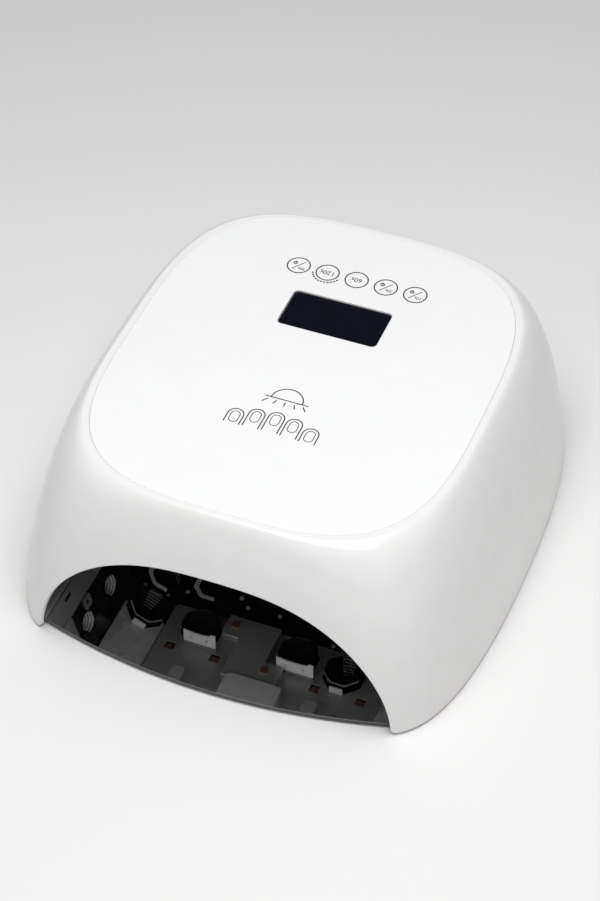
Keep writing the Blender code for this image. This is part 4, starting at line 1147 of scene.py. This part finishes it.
def make_socket():
    """The power inlet: a round barrel with a contact pin, set in the rear wall."""
    low, high = extent("dc_socket")
    middle, radius, _ = round_extent("dc_socket")
    depth = high.y - low.y
    barrel = turned([(0.0, -0.009), (0.0032, -0.009), (0.0032, -0.0004), (0.0035, 0.0),
                     (radius - 0.0003, 0.0), (radius, -0.0003), (radius, 0.0003 - depth),
                     (radius - 0.0003, -depth), (0.0, -depth)], 64)
    pin = turned([(0.0, -0.0016), (0.0005, -0.0017), (0.0009, -0.0024), (0.0009, -0.0092),
                  (0.0, -0.0092)], 32)
    sleeve = turned([(0.0027, -0.0088), (0.0027, -0.0015), (0.0031, -0.0012), (0.0032, -0.0012),
                     (0.0032, -0.0088)], 48)
    groups = [(barrel, MODULE_BLACK), (pin, STEEL), (closed(sleeve), STEEL)]
    place = at(middle.x, high.y, middle.z) @ turn_about("X", -pi / 2)
    assemble("dc_socket_skin", shifted(groups, place), ("dc_socket",))


def closed(mesh):
    """The mesh with its open edges filled."""
    with editing(mesh) as shape:
        bmesh.ops.bridge_loops(shape, edges=[edge for edge in shape.edges if edge.is_boundary])
        bmesh.ops.recalc_face_normals(shape, faces=shape.faces)
    return mesh


def tube(points, radius):
    """A smooth round wire through the points, closed at its ends."""
    return smooth(baked(new_curve("wire", lines=[points], dimensions="3D", bevel_depth=radius,
                                  bevel_resolution=4, use_fill_caps=True)), 60)


def make_springs():
    """Coiled contact springs under the touch keys."""
    wire, turns, steps = 0.0003, 3, 120
    for number in range(1, KEY_COUNT + 1):
        node = f"touch_spring_{number}"
        low, high = extent(node)
        x = KEY_PITCH * (number - 1 - (KEY_COUNT - 1) / 2)
        points = []
        for share in (step / steps for step in range(steps + 1)):
            turn = tau * turns * share
            radius = 0.0032 - 0.0014 * share
            points.append((x + radius * cos(turn), KEY_Y + radius * sin(turn),
                           low.z + wire + (high.z - low.z - 2 * wire) * share))
        add_piece(f"{node}_skin", tube(points, wire), STEEL, replaced=(node,))


def make_floor():
    """A large pale table top that isn't part of the lamp."""
    reach = 6
    mesh = mesh_from([(x * reach, y * reach, 0) for x, y in ((-1, -1), (1, -1), (1, 1), (-1, 1))],
                     [(0, 1, 2, 3)])
    mesh.materials.append(FLOOR_WHITE)
    floor = linked("floor", mesh)
    floor.location.z = -0.0001


def add_area_light(name, place, target, size, power):
    """A square soft light aimed at a point."""
    light = bpy.data.lights.new(name, "AREA")
    light.size = size
    light.energy = power
    holder = linked(name, light)
    holder.location = place
    holder.rotation_euler = (Vector(target) - Vector(place)).to_track_quat("-Z", "Y").to_euler()


def make_studio():
    """Floor, soft light, pale surroundings and the camera."""
    make_floor()
    scene = bpy.context.scene
    scene.view_settings.view_transform = "Standard"
    scene.world = bpy.data.worlds.new("studio")
    scene.world.use_nodes = True
    background = scene.world.node_tree.nodes["Background"]
    background.inputs["Color"].default_value = (0.8, 0.8, 0.81, 1.0)
    background.inputs["Strength"].default_value = 0.31
    add_area_light("key", (0.12, -0.27, 1.05), (0.05, -0.1, 0.0), 0.8, 10.5)
    data = bpy.data.cameras.new("camera")
    data.lens = 100.64
    data.sensor_width = 36.0
    scene.camera = linked("camera", data)
    scene.camera.location = (0.30768, -0.7829, 0.87037)
    scene.camera.rotation_euler = (radians(90 - 44.455), 0.0, radians(21.522))


def main():
    for make in (make_shell, make_face_plate, make_key_prints, make_front_symbol, make_liner,
                 make_roof_panels, make_side_plates, make_sensor_cover, make_cups, make_lights,
                 make_rivets, make_tray, make_screws, make_bosses, make_base_frame, make_socket,
                 make_springs):
        make()
    for node in sorted(node for node in NODES if node.startswith("rubber_foot")):
        make_round_piece(node, RUBBER_BLACK, edge=0.0004)
    for node in ("tray_magnet_left", "tray_magnet_right"):
        make_round_piece(node, STEEL)
    for node, material in (("control_board", BOARD_GREEN), ("power_board", BOARD_GREEN),
                           ("hand_sensor", FRAME_BLACK), ("display_module", MODULE_BLACK),
                           ("power_lead", WIRE_RED), ("main_harness", WIRE_GREY)):
        paint(node, material)
    make_studio()


main()
